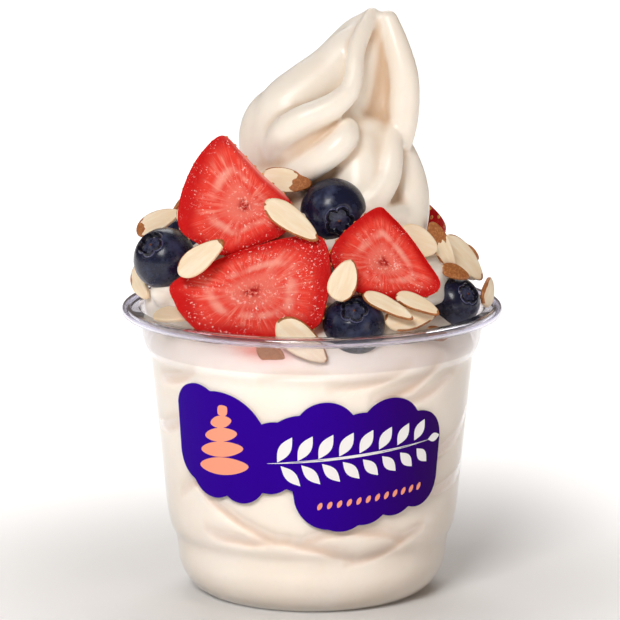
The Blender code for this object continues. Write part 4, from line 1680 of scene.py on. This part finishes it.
@dataclass
class Label:
    """A scalloped film label round the wall, printed with a stack of bars, a sprig and a row of dots."""

    cup: Cup
    thickness: float = 0.4
    gap: float = 0.3
    columns: int = 150
    rows: int = 14
    print_lift: float = 0.06
    ink_depth: float = 0.12
    middle: float = 45.0
    stem: tuple[float, float] = (10.5, 43.2)
    stem_slope: float = 5.0
    scallops: tuple[tuple[float, float, float], ...] = (
        (-31, 52.5, 7.4), (-31.5, 41.5, 7.2), (-24.5, 45.5, 13.2), (-27, 38.5, 7.8), (-18.8, 37, 6.8),
        (-9, 43.5, 8.6), (-11, 40.2, 6.9), (-2.5, 44, 10), (3.5, 49.5, 7.9), (4.5, 33.5, 9.3), (13, 45, 9.4),
        (13.5, 33.2, 8.2), (20.4, 49, 8.6), (22, 34.5, 7.8), (28.6, 45, 8.2), (29.4, 42.5, 7),
        (29.6, 35.2, 7.2), (7.5, 32, 8.4),
    )  # fmt: skip

    def wrapped(self, shape: bmesh.types.BMesh, lift: float) -> None:
        """Wraps a flat shape (along, height, rise) round the wall.

        Args:
            shape: The flat shape.
            lift: How far off the film's back it stands.
        """
        for vert in shape.verts:
            u, v, rise = vert.co
            radius = self.cup.outside(v) + self.gap + lift + rise
            angle = u / (self.cup.outside(self.middle) + self.gap)
            vert.co = Vector((radius * math.sin(angle), -radius * math.cos(angle), v))

    def build_film(self) -> bpy.types.Object:
        """Makes the label itself, column by column from its left end.

        Returns:
            The finished piece.
        """
        first = min(u - r for u, _, r in self.scallops) + 0.03
        last = max(u + r for u, _, r in self.scallops) - 0.03
        shape = bmesh.new()
        edges = wire(shape, [Vector((first, k / self.rows, 0)) for k in range(self.rows + 1)])
        step = (last - first) / self.columns
        for _ in range(self.columns):
            edges, _ = pulled(shape, edges, Matrix.Translation((step, 0, 0)))
        for vert in shape.verts:
            u, share = vert.co.x, vert.co.y
            spans = [(v, math.sqrt(r * r - (u - c) ** 2)) for c, v, r in self.scallops if abs(u - c) < r]
            low, high = min(v - s for v, s in spans), max(v + s for v, s in spans)
            vert.co.y = low + (high - low) * share
        self.raised(shape, self.thickness)
        self.wrapped(shape, 0.0)
        face_out(shape)
        return piece_from(shape, "label_film", VIOLET.make(), ["label"], crease=35)

    @staticmethod
    def raised(shape: bmesh.types.BMesh, depth: float) -> None:
        """Gives a flat shape a thickness.

        Args:
            shape: The flat shape.
            depth: The thickness.
        """
        made = bmesh.ops.extrude_face_region(shape, geom=shape.faces[:])["geom"]
        verts = [g for g in made if isinstance(g, bmesh.types.BMVert)]
        bmesh.ops.translate(shape, vec=(0, 0, depth), verts=verts)

    def add_leaf(
        self,
        shape: bmesh.types.BMesh,
        u: float,
        v: float,
        length: float,
        width: float,
        angle: float,
        point: float = 1.0,
    ) -> None:
        """Adds a flat printed field.

        Args:
            shape: The bmesh that it joins.
            u: Its middle along the wall.
            v: Its middle's height.
            length: Its length.
            width: Its width.
            angle: Its turn in degrees.
            point: 1 for a pointed leaf, 0 for an oval.
        """
        turn = Matrix.Translation((u, v, 0)) @ Matrix.Rotation(math.radians(angle), 4, "Z")
        ring = bmesh.ops.create_circle(shape, segments=40, radius=1.0)["verts"]
        for vert in ring:
            vert.co.y *= width / 2 * (1 - point * 0.75 * vert.co.x**2)
            vert.co.x *= length / 2
        edges = list({e for w in ring for e in w.link_edges})
        made = set(ring)
        before = 1.0
        for share in (0.8, 0.55, 0.3, 0.08):
            edges, verts = pulled(shape, edges, about(Vector(), share / before, Vector()))
            made.update(verts)
            before = share
        bmesh.ops.contextual_create(shape, geom=edges)
        bmesh.ops.transform(shape, matrix=turn, verts=list(made))

    def print_fields(self, name: str, ink: Ink, fields: Sequence[tuple[float, ...]]) -> bpy.types.Object:
        """Prints a set of fields in one ink.

        Args:
            name: The piece's name.
            ink: The ink.
            fields: (u, v, length, width, angle, point) of each field.

        Returns:
            The finished piece.
        """
        shape = bmesh.new()
        for item in fields:
            self.add_leaf(shape, *item)
        self.raised(shape, self.ink_depth)
        self.wrapped(shape, self.thickness + self.print_lift - self.ink_depth)
        face_out(shape)
        return piece_from(shape, name, ink.make(), crease=35)

    def emblem(self) -> list[tuple[float, ...]]:
        """Lays out a stack of soft bars that narrows upwards.

        Returns:
            The fields.
        """
        return [
            (-23.8, 39.4, 15.0, 4.6, 5, 0.25),
            (-24.0, 43.8, 13.0, 4.0, 8, 0.2),
            (-23.9, 47.6, 9.8, 3.6, 10, 0.2),
            (-23.6, 51.0, 6.4, 3.2, 14, 0.3),
            (-22.9, 54.0, 3.4, 3.0, 40, 0.7),
        ]

    def sprig(self) -> list[tuple[float, ...]]:
        """Lays out a long sprig of leaves along a rising stem.

        Returns:
            The fields.
        """
        leaves = [(*self.stem, 44.0, 0.7, self.stem_slope, 0.6)]
        for i in range(8):
            u = -8.0 + 5.1 * i
            stem = self.stem[1] + (u - self.stem[0]) * math.tan(math.radians(self.stem_slope))
            size = 7.6 - 0.25 * i
            leaves.append((u + 1.2, stem + 3.5, size, 3.0, 60, 1.0))
            leaves.append((u + 2.6, stem - 3.3, size * 0.92, 2.8, -46, 1.0))
        leaves.append((34.4, 45.4, 4.4, 2.2, 6, 1.0))
        return leaves

    def dots(self) -> list[tuple[float, ...]]:
        """A row of seed-shaped dots below the sprig."""
        return [(2.0 + 2.55 * i, 30.4 + 0.26 * i, 2.1, 1.15, 62, 0.3) for i in range(12)]

    def build(self) -> None:
        """Makes the label and its print."""
        self.build_film()
        self.print_fields("label_emblem", CORAL, self.emblem())
        self.print_fields("label_sprig", IVORY, self.sprig())
        self.print_fields("label_dots", Ink("ink_coral_dots", CORAL.colour, CORAL.deeper_and_shaded), self.dots())


# ---------------------------------------------------------------- stage


@dataclass(frozen=True)
class Lamp:
    """A soft area light that faces the cup: its place and size in metres, and its power in watts."""

    name: str
    place: tuple[float, float, float]
    size: tuple[float, float]
    power: float
    colour: Colour = (1, 1, 1)

    def build(self, target: Vector) -> None:
        """Hangs the light.

        Args:
            target: The point that it faces.
        """
        light = bpy.data.lights.new(self.name, "AREA")
        light.shape, light.size, light.size_y = "RECTANGLE", *self.size
        light.energy, light.color = self.power, self.colour
        made = bpy.data.objects.new(self.name, light)
        made.location = self.place
        made.rotation_euler = (target - Vector(self.place)).to_track_quat("-Z", "Y").to_euler()
        bpy.context.scene.collection.objects.link(made)


LAMPS = (
    Lamp("key", (-0.62, -1.85, 1.6), (0.8, 0.8), 35.5, (1.0, 0.985, 0.96)),
    Lamp("fill", (1.5, -1.5, 0.5), (0.8, 0.8), 4.5, (1.0, 0.86, 0.74)),
    Lamp("side", (-1.9, -0.3, 0.9), (0.5, 0.9), 2.5),
    Lamp("backdrop", (0.0, 1.5, 1.5), (1.6, 0.8), 14.0),
)


@dataclass
class Stage:
    """The floor, the lights and the camera, in metres."""

    distance: float = 1.0
    elevation: float = 10.8
    target: tuple[float, float, float] = (-0.0005, 0.0, 0.0729)
    lit: tuple[float, float, float] = (0, 0, 0.09)
    lens: float = 225.6
    sensor: float = 36.0
    ambient: Colour = (1.0, 0.80, 0.66)
    ambient_strength: float = 0.13
    floor_half: float = 6.0
    floor_tones: tuple[Colour, Colour] = ((0.90, 0.90, 0.90), (0.92, 0.92, 0.92))
    glow: float = 0.6
    glow_reach: tuple[float, float] = (0.035, 0.17)

    def floor_paint(self) -> bpy.types.Material:
        """Mixes the floor's pale paint, which glows faintly away from the cup.

        Returns:
            The material.
        """
        s = Shader("floor_paint")
        away = s.node("ShaderNodeVectorMath", {"operation": "LENGTH"}, {0: s.place()}, output="Value")
        return s.finish(
            s.principled(
                {
                    "Base Color": s.blend(*self.floor_tones, s.cloud(s.place(), 3.0, 2.0)),
                    "Roughness": 0.6,
                    "Specular IOR Level": 0.2,
                    "Emission Color": s.blend((0.0, 0.0, 0.0), (1.0, 1.0, 1.0), away.rise(*self.glow_reach)),
                    "Emission Strength": self.glow,
                }
            )
        )

    def build_floor(self) -> None:
        """Makes the pale floor."""
        shape = bmesh.new()
        bmesh.ops.create_grid(shape, x_segments=8, y_segments=8, size=self.floor_half)
        mesh = bpy.data.meshes.new("floor")
        shape.to_mesh(mesh)
        shape.free()
        mesh.materials.append(self.floor_paint())
        floor = bpy.data.objects.new("floor", mesh)
        bpy.context.scene.collection.objects.link(floor)

    def build_camera(self) -> None:
        """Sets up the camera."""
        rise = math.radians(self.elevation)
        camera = bpy.data.cameras.new("camera")
        camera.lens, camera.sensor_width = self.lens, self.sensor
        made = bpy.data.objects.new("camera", camera)
        away = Vector((0, -math.cos(rise), math.sin(rise)))
        made.location = Vector(self.target) + away * self.distance
        made.rotation_euler = (-away).to_track_quat("-Z", "Y").to_euler()
        bpy.context.scene.collection.objects.link(made)
        bpy.context.scene.camera = made

    def build(self) -> None:
        """Sets up the whole stage."""
        self.build_floor()
        world = bpy.data.worlds.new("studio")
        world.use_nodes = True
        sky = world.node_tree.nodes["Background"]
        sky.inputs["Color"].default_value = (*self.ambient, 1.0)
        sky.inputs["Strength"].default_value = self.ambient_strength
        bpy.context.scene.world = world
        for lamp in LAMPS:
            lamp.build(Vector(self.lit))
        self.build_camera()
        bpy.context.scene.view_settings.view_transform = "Standard"


def main() -> None:
    """Builds every piece in order."""
    logging.basicConfig(level=logging.INFO, format="%(name)s: %(message)s")
    Stage().build()
    cup = Cup()
    cup.build()
    log.info("cup")
    Label(cup).build()
    log.info("label")
    flesh, seed = StrawberryFlesh().make(), Seed().make()
    fruit: list[Vector] = []
    for item in SLICES:
        fruit += item.build(flesh, seed)
        log.info("strawberry %d", item.number)
    skin = BerrySkin().make()
    for item in BERRIES:
        item.build(skin)
        log.info("blueberry %d", item.number)
    nut = AlmondFlesh().make()
    for item in FLAKES:
        item.build(nut)
        log.info("almond %d", item.number)
    Yogurt(cup).build(fruit, SLICES, BERRIES)
    log.info("yogurt")


if __name__ == "__main__":
    main()
